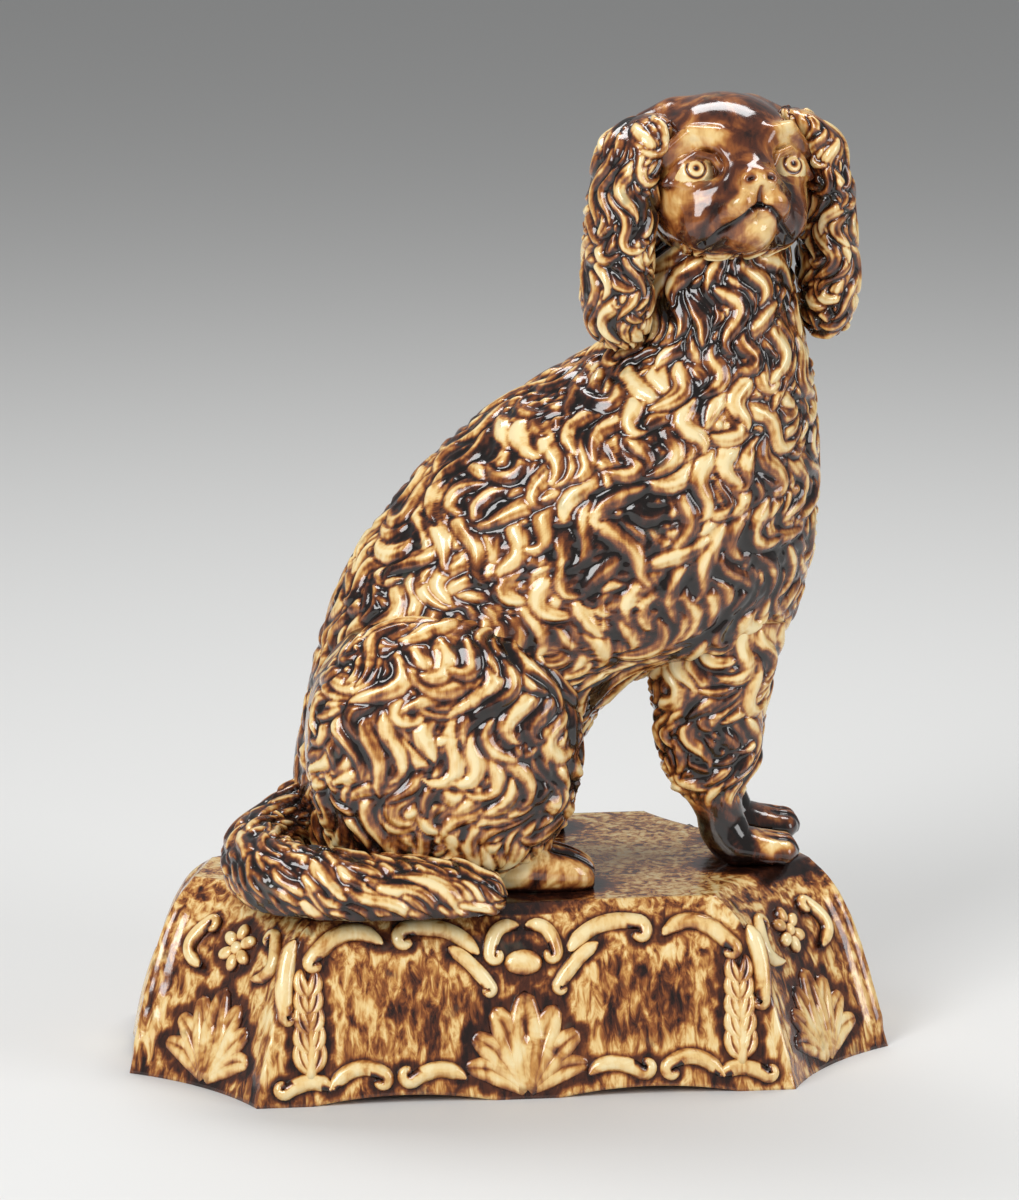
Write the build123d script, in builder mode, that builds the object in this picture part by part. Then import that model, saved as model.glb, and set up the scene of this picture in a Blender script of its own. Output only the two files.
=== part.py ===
"""Seated spaniel on a moulded plinth, a hollow pottery ornament.

The figure is pressed in sections and luted together with slip before firing: a hollow plinth,
two body halves, two head halves, ears, forelegs, haunches, hind paws, a tail, and small relief
sprigs laid on the plinth's skirt.

Frame: origin at the middle of the plinth's foot, +Z up, the dog's chest towards +X and its right
side, with the face turned to it, towards -Y. Millimetres.
"""

import os
from math import cos, pi, radians, sin
from typing import NamedTuple

from build123d import *

# Plinth
PLINTH_LENGTH = 216.0
PLINTH_BACK_LENGTH = 203.0
PLINTH_DEPTH = 134.0
PLINTH_HEIGHT = 51.0
CANT_LENGTH = 33.0
CANT_DEPTH = 37.0
CANT_HOLLOW = 4.0
SKIRT_LEAN = 13.0
SHOULDER_ROUND = 7.0
PLINTH_WALL = 6.0
TABLE_THICKNESS = 7.0
FOOT_LENGTH = 9.0
FOOT_LIFT = 2.5
VENT_DIAMETER = 14.0

# Relief on the skirt
RELIEF = 2.2
SLIP = 0.2
SPRIG_GAP = 3.0
SPRIG_DROP = 3.6
FROND_WIDTH = 10.0
SCROLL_WIDTH = 4.4
SCROLL_RISE = 4.5
CABOCHON_LENGTH = 11.0
CABOCHON_HEIGHT = 7.5
FLOWER_DIAMETER = 13.0
FLOWER_DROP = 14.0

# Hollow clay
BODY_WALL = 6.0
HEAD_WALL = 5.0

# Main locks of the coat, raised on the body's skin
LOCK_LENGTH = 15.0
LOCK_THICKNESS = 6.8
LOCK_RISE = 1.1
LOCK_SPACING = 10.0
LOCK_SLANT = 24.0
LOCK_MARGIN = 8.5

# Head, turned from the body and raised
HEAD_X = 62.0
HEAD_Y = -8.0
HEAD_ABOVE_TABLE = 195.5
HEAD_YAW = 12.0
HEAD_PITCH = 25.0
EYE_SPREAD = 14.0
EYE_RAISE = 4.0
EYE_FORWARD = 12.5
EYE_RADIUS = 5.0
RIGHT_EAR_THICKNESS = 18.0
LEFT_EAR_THICKNESS = 14.0

# Limbs
RIGHT_FORELEG = (62.0, -15.0)
LEFT_FORELEG = (67.0, 13.0)
FOREPAW_LENGTH = 25.0
FOREPAW_WIDTH = 17.0
FOREPAW_HEIGHT = 11.0
HIND_PAW_HEEL_X = -6.0
HIND_PAW_Y = 32.0
HIND_PAW_LENGTH = 29.0
HIND_PAW_WIDTH = 19.0
HIND_PAW_HEIGHT = 13.5
RIGHT_HAUNCH_X = -19.0
RIGHT_HAUNCH_LENGTH = 76.0
LEFT_HAUNCH_X = -14.0
LEFT_HAUNCH_LENGTH = 68.0
HAUNCH_ABOVE_TABLE = 40.0
HAUNCH_HEIGHT = 77.0

OVAL_POINTS = 12
SQUARE_OVAL = 2.3


class SpineSection(NamedTuple):
    """An oval slice of the body, from a point on the back to a point on the chest or belly."""

    back_x: float
    back_h: float
    front_x: float
    front_h: float
    half_width: float


class Slice(NamedTuple):
    """An oval slice: its place along the piece, its centre across it, and its two radii."""

    at: float
    centre: float
    radius: float
    cross_radius: float


class TailPoint(NamedTuple):
    """A point of the tail's middle line, above the table, and the tail's radius there."""

    x: float
    y: float
    h: float
    radius: float


# Heights in these lists are above the plinth's table.
TORSO = [
    SpineSection(-57, 0, 2, 0, 36),
    SpineSection(-58, 21, 14, 15, 40),
    SpineSection(-56.5, 38, 22, 33, 41),
    SpineSection(-53, 55, 31, 48, 41),
    SpineSection(-47, 76, 47, 57, 40),
    SpineSection(-37, 95, 79, 63, 40),
    SpineSection(-23, 112, 88, 84, 40),
    SpineSection(-5.5, 128, 90.5, 105, 38),
    SpineSection(13, 139, 90, 122, 34),
    SpineSection(29.5, 149, 88.5, 139, 29),
    SpineSection(37, 161, 85, 155, 25),
    SpineSection(42, 176, 82, 172, 21),
    SpineSection(47, 184, 80.5, 181, 17),
]
# Along the head's own axis, from the nape to the nose: centre is its height on that axis.
HEAD = [
    Slice(-26, 3, 7, 7),
    Slice(-22, 2.5, 14, 15),
    Slice(-12, 1, 21.5, 22.5),
    Slice(0, 0, 23.5, 25),
    Slice(8, -1, 22.5, 24),
    Slice(14, -4, 18.5, 20),
    Slice(19, -7, 14, 15.5),
    Slice(24, -8, 11, 11),
    Slice(28, -7, 8, 8),
    Slice(30.5, -6, 4, 4),
]
# Down from the ear's root: centre is its distance out from the head's middle, radius a share of
# half its thickness.
EAR = [
    Slice(214, 21, 0.55, 7),
    Slice(208, 26, 0.95, 11.5),
    Slice(196, 29, 1.0, 13),
    Slice(178, 31, 1.0, 13.5),
    Slice(162, 31.5, 1.0, 13),
    Slice(154, 31, 0.8, 9.5),
    Slice(150, 30.5, 0.4, 5),
]
# Up from the table: centre is the leg's shift along X from its foot.
FORELEG = [
    Slice(0, 2, 6.5, 7),
    Slice(6, 1.5, 5.6, 6.5),
    Slice(13, 0.5, 6, 6.5),
    Slice(19, -2, 9.5, 8),
    Slice(26, -3, 12.5, 9.5),
    Slice(34, -3.5, 14.5, 10.5),
    Slice(46, -4, 16, 12),
    Slice(58, -3.5, 18, 13),
    Slice(72, -1, 19, 13),
]
# Out from the body's middle: radii are shares of half the haunch's length and height.
HAUNCH = [
    Slice(18, 0, 1.0, 1.0),
    Slice(36, 0, 1.0, 1.0),
    Slice(45, 0, 0.84, 0.84),
    Slice(50, 0, 0.55, 0.55),
    Slice(51.5, 0, 0.25, 0.25),
]
# From the heel to the toes: shares of the paw's length, width and height.
PAW = [
    Slice(0.0, 0.40, 0.55, 0.50),
    Slice(0.25, 0.42, 0.85, 0.60),
    Slice(0.55, 0.40, 1.00, 0.58),
    Slice(0.85, 0.32, 0.92, 0.44),
    Slice(1.0, 0.25, 0.55, 0.24),
]
TAIL = [
    TailPoint(-51, 5, 19, 8),
    TailPoint(-63, -9, 13, 9),
    TailPoint(-71, -26, 10, 10),
    TailPoint(-67, -43, 8, 11),
    TailPoint(-50, -52, 6.5, 11),
    TailPoint(-28, -53.5, 5, 10),
    TailPoint(-13, -53, 3.5, 8.5),
    TailPoint(-7, -52.5, 2.5, 6),
]


def oval(radius_x, radius_y, power=2.0):
    """A closed smooth curve through a superellipse, drawn on the current sketch plane."""
    points = []
    for step in range(OVAL_POINTS):
        angle = 2 * pi * step / OVAL_POINTS
        c, s = cos(angle), sin(angle)
        points.append(
            (
                radius_x * abs(c) ** (2 / power) * (1 if c >= 0 else -1),
                radius_y * abs(s) ** (2 / power) * (1 if s >= 0 else -1),
            )
        )
    with BuildLine() as ring:
        Spline(*points, periodic=True)
    make_face(ring.edges())


# Plinth forms

cant_run = (CANT_LENGTH**2 + CANT_DEPTH**2) ** 0.5


def plinth_outline(grow):
    """The plinth's plan, canted at the corners and narrower behind, grown or shrunk all round."""
    front_x = PLINTH_LENGTH / 2 + grow
    back_x = PLINTH_BACK_LENGTH / 2 + grow
    half_y = PLINTH_DEPTH / 2 + grow
    bow_x = CANT_HOLLOW * CANT_DEPTH / cant_run
    bow_y = CANT_HOLLOW * CANT_LENGTH / cant_run
    corners = [
        ((back_x, half_y - CANT_DEPTH), (back_x - CANT_LENGTH, half_y)),
        ((CANT_LENGTH - back_x, half_y), (-back_x, half_y - CANT_DEPTH)),
        ((-front_x, CANT_DEPTH - half_y), (CANT_LENGTH - front_x, -half_y)),
        ((front_x - CANT_LENGTH, -half_y), (front_x, CANT_DEPTH - half_y)),
    ]
    with BuildLine() as ring:
        for number, (start, end) in enumerate(corners):
            before = corners[number - 1][1]
            side_x = 1 if start[0] + end[0] > 0 else -1
            side_y = 1 if start[1] + end[1] > 0 else -1
            middle = (
                (start[0] + end[0]) / 2 - side_x * bow_x,
                (start[1] + end[1]) / 2 - side_y * bow_y,
            )
            Line(before, start)
            ThreePointArc(start, middle, end)
    make_face(ring.edges())


def plinth_form(grow, top_drop=0.0):
    """The plinth's filled form, leaning in and rounding over to the table."""
    height = PLINTH_HEIGHT + grow - top_drop
    with BuildPart() as form:
        for share in (0.0, 0.3, 0.6, 0.85, 1.0):
            lean = SKIRT_LEAN * share + SHOULDER_ROUND * share**6
            with BuildSketch(Plane.XY.offset(share * height)):
                plinth_outline(grow - lean)
        loft()
    return form.part


def arch_cut(plane, centre, span):
    """Lifts the rim between two feet with a shallow arch that goes through the whole plinth."""
    with BuildSketch(plane) as gap:
        with BuildLine():
            Line((centre - span / 2, -1), (centre + span / 2, -1))
            Line((centre + span / 2, -1), (centre + span / 2, 0))
            ThreePointArc((centre + span / 2, 0), (centre, FOOT_LIFT), (centre - span / 2, 0))
            Line((centre - span / 2, 0), (centre - span / 2, -1))
        make_face()
    extrude(gap.sketch, amount=PLINTH_LENGTH, both=True, mode=Mode.SUBTRACT)


plinth_solid = plinth_form(0.0)
relief_band = plinth_form(RELIEF) - plinth_form(SLIP)
front_run = PLINTH_BACK_LENGTH / 2 - CANT_LENGTH
end_run = PLINTH_DEPTH / 2 - CANT_DEPTH

with BuildPart() as plinth_shell:
    add(plinth_solid)
    add(plinth_form(-PLINTH_WALL, top_drop=TABLE_THICKNESS - PLINTH_WALL), mode=Mode.SUBTRACT)
    for side in (-1, 1):
        arch_cut(Plane.XZ, side * front_run / 2, front_run - 2 * FOOT_LENGTH)
    arch_cut(Plane.YZ, 0, 2 * end_run - 2 * FOOT_LENGTH)
    with Locations((RIGHT_HAUNCH_X, 0, PLINTH_HEIGHT)):
        Hole(VENT_DIAMETER / 2, depth=TABLE_THICKNESS * 2)
plinth_shell.part.label = "plinth_shell"


# Body, hollow and in two halves


def spine_plane(section):
    """The slice's plane: X from back to front, Y across the body."""
    run = Vector(section.front_x - section.back_x, 0, section.front_h - section.back_h)
    middle = Vector(
        (section.front_x + section.back_x) / 2,
        0,
        (section.front_h + section.back_h) / 2 + PLINTH_HEIGHT,
    )
    return Plane(origin=middle, x_dir=run, z_dir=run.cross(Vector(0, 1, 0))), run.length


def torso_form(inset):
    """The body and neck as one filled form, drawn in by a wall's thickness."""
    with BuildPart() as form:
        for section in TORSO:
            plane, length = spine_plane(section)
            with BuildSketch(plane):
                oval(length / 2 - inset, section.half_width - inset)
        loft()
    return form.part


torso_solid = torso_form(0.0)
torso_cavity = torso_form(BODY_WALL)

with BuildPart() as lock_form:
    with BuildSketch(Plane.XY):
        with BuildLine():
            EllipticalCenterArc((0, 0), LOCK_LENGTH / 2, LOCK_THICKNESS / 2, 0, arc_size=180)
            Line((-LOCK_LENGTH / 2, 0), (LOCK_LENGTH / 2, 0))
        make_face()
    revolve(axis=Axis.X)


def rim_point(section, angle):
    """A point of the body's skin on a slice, from the chest round by the left side."""
    middle_x = (section.front_x + section.back_x) / 2
    middle_h = (section.front_h + section.back_h) / 2
    half_x = (section.front_x - section.back_x) / 2
    half_h = (section.front_h - section.back_h) / 2
    return Vector(
        middle_x + half_x * cos(angle),
        section.half_width * sin(angle),
        PLINTH_HEIGHT + middle_h + half_h * cos(angle),
    )


def is_bare(spot):
    """Whether a lock at this place stays clear of the limbs, ears, tail and the join of the halves."""
    height = spot.Z - PLINTH_HEIGHT
    haunch_x, length = (RIGHT_HAUNCH_X, RIGHT_HAUNCH_LENGTH)
    if spot.Y > 0:
        haunch_x, length = (LEFT_HAUNCH_X, LEFT_HAUNCH_LENGTH)
    over_x = (spot.X - haunch_x) / (length / 2 + LOCK_MARGIN)
    over_z = (height - HAUNCH_ABOVE_TABLE) / (HAUNCH_HEIGHT / 2 + LOCK_MARGIN)
    on_haunch = abs(over_x) ** SQUARE_OVAL + abs(over_z) ** SQUARE_OVAL < 1 and abs(spot.Y) > 6
    on_foreleg = spot.X > 34 and height < FORELEG[-1].at + LOCK_MARGIN
    by_ear = False
    for side in (-1, 1):
        out = side * EAR[3].centre
        beside_x = spot.X - HEAD_X - out * cos(radians(HEAD_YAW))
        beside_y = spot.Y - HEAD_Y - out * sin(radians(HEAD_YAW))
        near = (beside_x**2 + beside_y**2) ** 0.5 < EAR[3].cross_radius + LOCK_MARGIN
        by_ear = by_ear or (near and height > EAR[-1].at - LOCK_MARGIN)
    by_tail = spot.X < -40 and height < 3 * LOCK_MARGIN
    on_join = abs(spot.Y) < 6.5
    by_head = height > HEAD_ABOVE_TABLE - HEAD[3].cross_radius - LOCK_MARGIN
    return not (on_haunch or on_foreleg or by_ear or by_tail or on_join or by_head)


def between(number):
    """The slice halfway between one of the body's slices and the next."""
    near = [TORSO[max(0, min(number + step, len(TORSO) - 1))] for step in (-1, 0, 1, 2)]
    return SpineSection(*((9 * (b + c) - a - d) / 16 for a, b, c, d in zip(*near)))


lock_rows = []
for number, section in enumerate(TORSO[:-1]):
    lock_rows += [section, between(number)]


def main_locks(side):
    """The coat's main locks on one half, in staggered rows that slant to and fro."""
    locks = []
    for number in range(3, len(lock_rows) - 2):
        section = lock_rows[number]
        plane, length = spine_plane(section)
        count = round(pi * (length / 2 + section.half_width) / LOCK_SPACING)
        for step in range(count):
            angle = 2 * pi * (step + 0.25 + 0.5 * (number % 2)) / count
            spot = rim_point(section, angle)
            if spot.Y * side < 0 or not is_bare(spot):
                continue
            flow = rim_point(lock_rows[number - 1], angle) - rim_point(lock_rows[number + 1], angle)
            across = rim_point(section, angle + 0.01) - rim_point(section, angle - 0.01)
            place = Plane(origin=spot, x_dir=flow, z_dir=flow.cross(across))
            slant = LOCK_SLANT if step % 2 else -LOCK_SLANT
            sunk = place.rotated((0, 0, slant)).offset(LOCK_RISE - LOCK_THICKNESS / 2)
            locks.append(sunk.location * lock_form.part)
    return locks


with BuildPart() as body_right_half:
    add(torso_solid)
    add(torso_cavity, mode=Mode.SUBTRACT)
    split(bisect_by=Plane.XZ, keep=Keep.TOP)
    add(main_locks(-1))
body_right_half.part.label = "body_right_half"

with BuildPart() as body_left_half:
    add(torso_solid)
    add(torso_cavity, mode=Mode.SUBTRACT)
    split(bisect_by=Plane.XZ, keep=Keep.BOTTOM)
    add(main_locks(1))
body_left_half.part.label = "body_left_half"


# Head, hollow and in two halves that meet at the ears

yaw = radians(HEAD_YAW)
pitch = radians(HEAD_PITCH)
head_plane = Plane(
    origin=(HEAD_X, HEAD_Y, PLINTH_HEIGHT + HEAD_ABOVE_TABLE),
    x_dir=(cos(yaw), sin(yaw), 0),
    z_dir=(sin(yaw) * cos(pitch), -cos(yaw) * cos(pitch), sin(pitch)),
)
ear_plane = Plane(origin=(HEAD_X, HEAD_Y, PLINTH_HEIGHT), x_dir=(cos(yaw), sin(yaw), 0), z_dir=(0, 0, 1))


def head_form(inset):
    """The skull and muzzle as one filled form, drawn in by a wall's thickness."""
    with BuildPart() as form:
        for slice_ in HEAD:
            if slice_.radius - inset < 2:
                continue
            plane = head_plane.offset(slice_.at * (1 - inset / 30))
            with BuildSketch(plane.shift_origin(plane.from_local_coords((0, slice_.centre, 0)))):
                oval(slice_.radius - inset, slice_.cross_radius - inset)
        loft()
    return form.part


head_solid = head_form(0.0)
head_cavity = head_form(HEAD_WALL)

with BuildPart() as head_face:
    add(head_solid)
    for side in (-1, 1):
        with Locations(head_plane.from_local_coords((side * EYE_SPREAD, EYE_RAISE, EYE_FORWARD))):
            Sphere(EYE_RADIUS)
    add(head_cavity, mode=Mode.SUBTRACT)
    split(bisect_by=head_plane, keep=Keep.TOP)
    add(torso_solid, mode=Mode.SUBTRACT)
head_face.part.label = "head_face"

with BuildPart() as head_back:
    add(head_solid)
    add(head_cavity, mode=Mode.SUBTRACT)
    split(bisect_by=head_plane, keep=Keep.BOTTOM)
    add(torso_solid, mode=Mode.SUBTRACT)
head_back.part.label = "head_back"


# Ears


def ear_form(side, thickness):
    """A hanging ear on one side of the head, before it is fitted to the head and neck."""
    with BuildPart() as form:
        for slice_ in EAR:
            plane = ear_plane.offset(slice_.at)
            with BuildSketch(plane.shift_origin(plane.from_local_coords((side * slice_.centre, 0, 0)))):
                oval(slice_.radius * thickness / 2, slice_.cross_radius)
        loft()
    return form.part


with BuildPart() as right_ear:
    add(ear_form(-1, RIGHT_EAR_THICKNESS))
    add(head_solid, mode=Mode.SUBTRACT)
    add(torso_solid, mode=Mode.SUBTRACT)
right_ear.part.label = "right_ear"

with BuildPart() as left_ear:
    add(ear_form(1, LEFT_EAR_THICKNESS))
    add(head_solid, mode=Mode.SUBTRACT)
    add(torso_solid, mode=Mode.SUBTRACT)
left_ear.part.label = "left_ear"


# Limbs

table_plane = Plane.XY.offset(PLINTH_HEIGHT)


def paw_form(heel_x, middle_y, length, width, height):
    """A rounded paw along X, flat on the table."""
    with BuildPart() as form:
        for slice_ in PAW:
            origin = (heel_x + slice_.at * length, middle_y, PLINTH_HEIGHT + slice_.centre * height)
            with BuildSketch(Plane(origin=origin, x_dir=(0, 1, 0), z_dir=(1, 0, 0))):
                oval(slice_.radius * width / 2, slice_.cross_radius * height)
        loft()
        split(bisect_by=table_plane, keep=Keep.TOP)
    return form.part


def foreleg_form(foot):
    """A foreleg with its feathering and paw, from the table up into the chest."""
    foot_x, foot_y = foot
    with BuildPart() as form:
        for slice_ in FORELEG:
            origin = (foot_x + slice_.centre, foot_y, PLINTH_HEIGHT + slice_.at)
            with BuildSketch(Plane(origin=origin, x_dir=(1, 0, 0), z_dir=(0, 0, 1))):
                oval(slice_.radius, slice_.cross_radius)
        loft()
        add(paw_form(foot_x - 3, foot_y, FOREPAW_LENGTH, FOREPAW_WIDTH, FOREPAW_HEIGHT))
    return form.part


with BuildPart() as right_foreleg:
    add(foreleg_form(RIGHT_FORELEG))
    add(torso_solid, mode=Mode.SUBTRACT)
right_foreleg.part.label = "right_foreleg"

with BuildPart() as left_foreleg:
    add(foreleg_form(LEFT_FORELEG))
    add(torso_solid, mode=Mode.SUBTRACT)
left_foreleg.part.label = "left_foreleg"


def haunch_form(side, middle_x, length):
    """The folded hind leg as a rounded boss on one side of the body."""
    with BuildPart() as form:
        for slice_ in HAUNCH:
            origin = (middle_x, side * slice_.at, PLINTH_HEIGHT + HAUNCH_ABOVE_TABLE)
            with BuildSketch(Plane(origin=origin, x_dir=(1, 0, 0), z_dir=(0, side, 0))):
                oval(
                    slice_.radius * length / 2,
                    slice_.cross_radius * HAUNCH_HEIGHT / 2,
                    SQUARE_OVAL,
                )
        loft()
        split(bisect_by=table_plane, keep=Keep.TOP)
    return form.part


haunch_solids = {
    -1: haunch_form(-1, RIGHT_HAUNCH_X, RIGHT_HAUNCH_LENGTH),
    1: haunch_form(1, LEFT_HAUNCH_X, LEFT_HAUNCH_LENGTH),
}

with BuildPart() as right_haunch:
    add(haunch_solids[-1])
    add(torso_solid, mode=Mode.SUBTRACT)
right_haunch.part.label = "right_haunch"

with BuildPart() as left_haunch:
    add(haunch_solids[1])
    add(torso_solid, mode=Mode.SUBTRACT)
left_haunch.part.label = "left_haunch"


def hind_paw(side):
    """A hind paw, fitted against the haunch and body above it."""
    with BuildPart() as paw:
        add(paw_form(HIND_PAW_HEEL_X, side * HIND_PAW_Y, HIND_PAW_LENGTH, HIND_PAW_WIDTH, HIND_PAW_HEIGHT))
        add(haunch_solids[side], mode=Mode.SUBTRACT)
        add(torso_solid, mode=Mode.SUBTRACT)
    return paw.part


right_hind_paw = hind_paw(-1)
right_hind_paw.label = "right_hind_paw"
left_hind_paw = hind_paw(1)
left_hind_paw.label = "left_hind_paw"


# Tail, wrapped round on the table's edge

with BuildPart() as tail_roll:
    for number, point in enumerate(TAIL):
        before = TAIL[max(number - 1, 0)]
        after = TAIL[min(number + 1, len(TAIL) - 1)]
        along = Vector(after.x - before.x, after.y - before.y, after.h - before.h)
        place = Plane(
            origin=(point.x, point.y, PLINTH_HEIGHT + point.h),
            x_dir=along.cross(Vector(0, 0, 1)),
            z_dir=along,
        )
        with BuildSketch(place):
            oval(point.radius, point.radius)
    loft()
tail_solid = tail_roll.part

with BuildPart() as tail:
    add(tail_solid)
    add(torso_solid, mode=Mode.SUBTRACT)
    add(haunch_solids[-1], mode=Mode.SUBTRACT)
    add(plinth_solid, mode=Mode.SUBTRACT)
tail.part.label = "tail"


# Relief sprigs, each cut from the band that follows the skirt


def skirt_plane(x, y, normal_x, normal_y):
    """An upright plane that faces out from the skirt: X along the rim, Y the height."""
    return Plane(origin=(x, y, 0), x_dir=(-normal_y, normal_x, 0), z_dir=(normal_x, normal_y, 0))


LONG_SIDES = [
    skirt_plane(0, -PLINTH_DEPTH / 2, 0, -1),
    skirt_plane(0, PLINTH_DEPTH / 2, 0, 1),
]
ENDS = [
    skirt_plane((PLINTH_LENGTH + PLINTH_BACK_LENGTH) / 4, 0, 1, 0),
    skirt_plane(-(PLINTH_LENGTH + PLINTH_BACK_LENGTH) / 4, 0, -1, 0),
]
CORNERS = [
    skirt_plane(
        side_x * ((PLINTH_LENGTH if side_y < 0 else PLINTH_BACK_LENGTH) - CANT_LENGTH) / 2,
        side_y * (PLINTH_DEPTH - CANT_DEPTH) / 2,
        side_x * CANT_DEPTH,
        side_y * CANT_LENGTH,
    )
    for side_x in (-1, 1)
    for side_y in (-1, 1)
]
REACH = SKIRT_LEAN + SHOULDER_ROUND + CANT_HOLLOW


sprig_foot = FOOT_LIFT + SPRIG_GAP / 2
sprig_top = PLINTH_HEIGHT - SPRIG_DROP
hood_x = CABOCHON_LENGTH / 2 + SPRIG_GAP + SCROLL_WIDTH / 2
hood_z = sprig_top - SCROLL_WIDTH / 2
cabochon_z = sprig_top - SCROLL_WIDTH - SPRIG_GAP - CABOCHON_HEIGHT / 2
leaf_height = cabochon_z - CABOCHON_HEIGHT / 2 - SPRIG_GAP - FOOT_LIFT
leaf_spread = leaf_height * 0.62
frond_x = front_run - FROND_WIDTH
arch_start = hood_x + SCROLL_WIDTH + SPRIG_GAP
arch_end = front_run - SKIRT_LEAN - SCROLL_WIDTH / 2
arch_z = sprig_top - SCROLL_WIDTH / 2
foot_start = leaf_spread + SPRIG_GAP + SCROLL_WIDTH / 2
foot_end = frond_x - FROND_WIDTH / 2 - SPRIG_GAP - SCROLL_WIDTH / 2
foot_z = sprig_foot + SCROLL_WIDTH / 2
frond_foot = sprig_foot + SPRIG_GAP
frond_height = arch_z - SCROLL_RISE - SCROLL_WIDTH / 2 - SPRIG_GAP - frond_foot
flower_z = PLINTH_HEIGHT - FLOWER_DROP
corner_leaf_height = flower_z - FLOWER_DIAMETER / 2 - SPRIG_GAP - FOOT_LIFT


def fan_leaf(height, turns):
    """A fan of rounded lobes that spring from the rim, the middle one tallest."""
    for turn in turns:
        length = height * (1 - 0.28 * abs(turn) / 60)
        middle = (sin(radians(turn)) * length / 2, FOOT_LIFT + cos(radians(turn)) * length / 2)
        with Locations(middle):
            Ellipse(length / 2, length / 6.5, rotation=90 - turn)


def scroll(start, middle, end):
    """A rounded band along an arc through three points, and its mirror image."""
    for side in (-1, 1):
        points = [(side * x, height) for x, height in (start, middle, end)]
        with BuildLine(mode=Mode.PRIVATE):
            arc = ThreePointArc(*points)
        SlotArc(arc, SCROLL_WIDTH)


def scroll_pair(start_x, end_x, end_z, rise):
    """Two bowed scrolls end to end between two places along the rim, and their mirror images."""
    run = (end_x - start_x - SCROLL_WIDTH - SPRIG_GAP) / 2
    for left in (start_x, end_x - run):
        scroll((left, end_z), (left + run / 2, end_z + rise), (left + run, end_z))


def frond(middle_x, foot_height, height):
    """A tall leaf of paired leaflets up one stem, and its mirror image."""
    for side in (-1, 1):
        with Locations((side * middle_x, foot_height + height / 2)):
            Ellipse(FROND_WIDTH / 4, height / 2)
        for level in (0.2, 0.42, 0.64):
            for turn in (-1, 1):
                place = (side * middle_x + turn * FROND_WIDTH / 5, foot_height + level * height)
                with Locations(place):
                    Ellipse(FROND_WIDTH / 3.2, FROND_WIDTH / 6, rotation=90 - turn * 35)


with BuildPart() as centre_leaves:
    with BuildSketch(*LONG_SIDES):
        fan_leaf(leaf_height, (-52, -26, 0, 26, 52))
    extrude(amount=REACH, both=True)
    add(relief_band, mode=Mode.INTERSECT)
centre_leaves.part.label = "centre_leaves"

with BuildPart() as centre_cabochons:
    with BuildSketch(*LONG_SIDES):
        with Locations((0, cabochon_z)):
            Ellipse(CABOCHON_LENGTH / 2, CABOCHON_HEIGHT / 2)
    extrude(amount=REACH, both=True)
    add(relief_band, mode=Mode.INTERSECT)
centre_cabochons.part.label = "centre_cabochons"

with BuildPart() as hood_scrolls:
    with BuildSketch(*LONG_SIDES):
        scroll(
            (SCROLL_WIDTH / 4, hood_z),
            (0.72 * hood_x, cabochon_z + 0.72 * (hood_z - cabochon_z)),
            (hood_x, cabochon_z),
        )
    extrude(amount=REACH, both=True)
    add(relief_band, mode=Mode.INTERSECT)
    add(tail_solid, mode=Mode.SUBTRACT)
hood_scrolls.part.label = "hood_scrolls"

with BuildPart() as arch_scrolls:
    with BuildSketch(*LONG_SIDES):
        scroll_pair(arch_start, arch_end, arch_z - SCROLL_RISE, SCROLL_RISE)
    extrude(amount=REACH, both=True)
    add(relief_band, mode=Mode.INTERSECT)
    add(tail_solid, mode=Mode.SUBTRACT)
arch_scrolls.part.label = "arch_scrolls"

with BuildPart() as foot_scrolls:
    with BuildSketch(*LONG_SIDES):
        scroll_pair(foot_start, foot_end, foot_z + SCROLL_RISE, -SCROLL_RISE)
    extrude(amount=REACH, both=True)
    add(relief_band, mode=Mode.INTERSECT)
foot_scrolls.part.label = "foot_scrolls"

with BuildPart() as side_fronds:
    with BuildSketch(*LONG_SIDES):
        frond(frond_x, frond_foot, frond_height)
    extrude(amount=REACH, both=True)
    add(relief_band, mode=Mode.INTERSECT)
side_fronds.part.label = "side_fronds"

with BuildPart() as corner_leaves:
    with BuildSketch(*CORNERS):
        fan_leaf(corner_leaf_height, (-50, -25, 0, 25, 50))
    extrude(amount=REACH, both=True)
    add(relief_band, mode=Mode.INTERSECT)
corner_leaves.part.label = "corner_leaves"

with BuildPart() as corner_flowers:
    with BuildSketch(*CORNERS):
        with Locations((0, flower_z)):
            Circle(FLOWER_DIAMETER / 5)
            with PolarLocations(FLOWER_DIAMETER * 0.3, 5, start_angle=90):
                Circle(FLOWER_DIAMETER / 5)
    extrude(amount=REACH, both=True)
    add(relief_band, mode=Mode.INTERSECT)
corner_flowers.part.label = "corner_flowers"

with BuildPart() as corner_scrolls:
    with BuildSketch(*CORNERS):
        inner = FLOWER_DIAMETER / 2 + SPRIG_GAP / 2 + SCROLL_WIDTH / 2
        scroll(
            (inner, flower_z + SCROLL_RISE),
            (inner + SCROLL_RISE, flower_z),
            (inner, flower_z - SCROLL_RISE),
        )
    extrude(amount=REACH, both=True)
    add(relief_band, mode=Mode.INTERSECT)
corner_scrolls.part.label = "corner_scrolls"

with BuildPart() as end_leaves:
    with BuildSketch(*ENDS):
        fan_leaf(leaf_height, (-52, -26, 0, 26, 52))
    extrude(amount=REACH, both=True)
    add(relief_band, mode=Mode.INTERSECT)
end_leaves.part.label = "end_leaves"

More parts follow.
